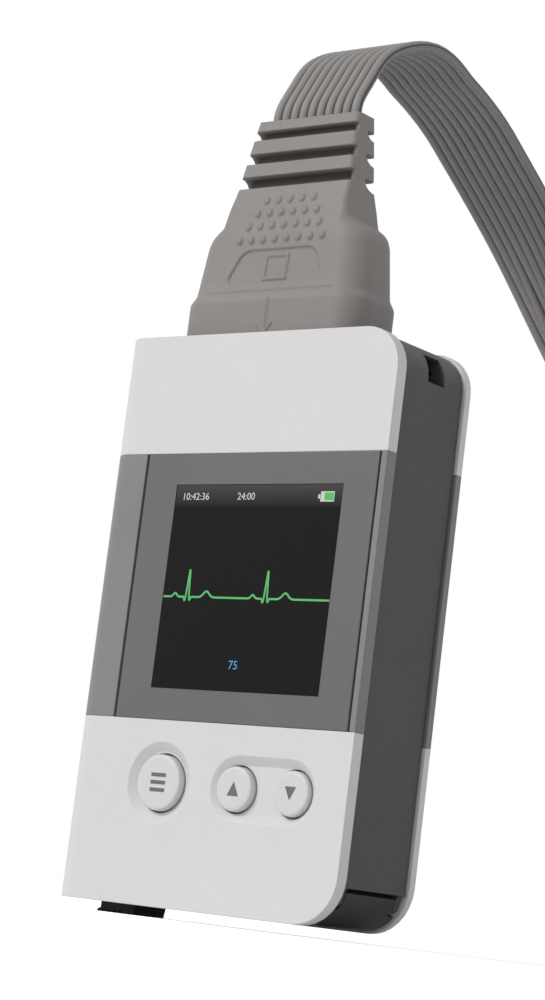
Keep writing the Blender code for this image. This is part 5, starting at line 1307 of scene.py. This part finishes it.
mark_grey = ink("mark_grey", (0.150, 0.145, 0.145))
marks = [
    ("up_mark", triangle(0.0370, 0.00120, 0.0024, True), "up_button"),
    ("down_mark", triangle(0.0487, 0.00115, 0.0022, False), "down_button"),
]
for step in (-1, 0, 1):
    level = KEY_LEVEL + step * MENU_PITCH
    bar = rectangle(MENU_LEFT, MENU_RIGHT, level - MENU_HALF, level + MENU_HALF)
    marks.append((f"menu_bar_{step + 2}", bar, "menu_button"))
for name, outline, body in marks:
    mark = plate(name, outline, KEY_FACE - LAYER, LAYER / 2)
    mark.data.materials.append(mark_grey)
    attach(mark, body)
print("key marks:", len(marks))

# %% [markdown]
# The setting is plain: a pale floor that runs to the horizon, and a surround of the same
# tone that only the camera and shiny surfaces see. The camera looks along the floor from
# just above it, so floor and surround have to meet in one tone. A sun lamp lights the floor
# evenly however far it runs, and a little glow that only the camera sees lifts the floor
# to the surround's tone and leaves the shadows on it.

# %% Light levels
AMBIENT = 0.48
SURROUND = 1.0
KEY = 1.70
FLOOR_TONE = 0.86
FLOOR_CLOUD = 0.005
FLOOR_GLOW = 0.55
WHITE = (1, 1, 1, 1)
print("key light", KEY, "ambient", AMBIENT)


# %% Floor
def floor_finish():
    """Pale matt floor with faint clouds, and a glow for camera rays alone: the ray's mark, 0 or
    1, times the glow."""
    material, tree, shader, place = begin_material("floor_pale", 0.9, specular=0.0)
    clouds = remap(tree, noise(tree, place, 8, 2), 0.0, 1.0)
    low_tone = (FLOOR_TONE - FLOOR_CLOUD,) * 3 + (1,)
    high_tone = (FLOOR_TONE + FLOOR_CLOUD,) * 3 + (1,)
    clouded = blend_colours(tree, clouds, low_tone, high_tone)
    tree.links.new(clouded, shader.inputs["Base Color"])
    rays = add_node(tree, "ShaderNodeLightPath")
    glow = calculate(tree, "MULTIPLY", rays.outputs["Is Camera Ray"], FLOOR_GLOW)
    shader.inputs["Emission Color"].default_value = WHITE
    tree.links.new(glow, shader.inputs["Emission Strength"])
    return material


floor_corners = [(-3, -3, 0), (3, -3, 0), (3, 3, 0), (-3, 3, 0)]
floor = add_mesh("floor", floor_corners, [(0, 1, 2, 3)], smooth_faces=False)
floor.data.materials.append(floor_finish())
print("floor laid")

# %% World
world = bpy.data.worlds.new("studio")
bpy.context.scene.world = world
world.use_nodes = True
tree = world.node_tree
tree.nodes.clear()
output = add_node(tree, "ShaderNodeOutputWorld")
seen_values = (("Color", WHITE), ("Strength", SURROUND))
seen = add_node(tree, "ShaderNodeBackground", values=seen_values)
lighting_values = (("Color", WHITE), ("Strength", AMBIENT))
lighting = add_node(tree, "ShaderNodeBackground", values=lighting_values)
rays = add_node(tree, "ShaderNodeLightPath").outputs
direct = calculate(tree, "MAXIMUM", rays["Is Camera Ray"], rays["Is Glossy Ray"])
sees_surround = calculate(tree, "MAXIMUM", direct, rays["Is Transmission Ray"])
choice = add_node(tree, "ShaderNodeMixShader")
tree.links.new(sees_surround, choice.inputs[0])
tree.links.new(lighting.outputs[0], choice.inputs[1])
tree.links.new(seen.outputs[0], choice.inputs[2])
tree.links.new(choice.outputs[0], output.inputs["Surface"])
print("surround ready")


# %% Sun
def sun(name, azimuth, elevation, strength, width):
    """A soft sun, turned from straight down by 90 degrees less its elevation, and then by its
    azimuth from the front."""
    data = bpy.data.lights.new(name, "SUN")
    data.energy = strength
    data.angle = math.radians(width)
    rotation = (math.radians(90 - elevation), 0, math.radians(azimuth))
    add_object(name, data).rotation_euler = rotation


sun("key_sun", azimuth=-24, elevation=34, strength=KEY, width=24)
bpy.context.scene.view_settings.view_transform = "Standard"
print("sun set")
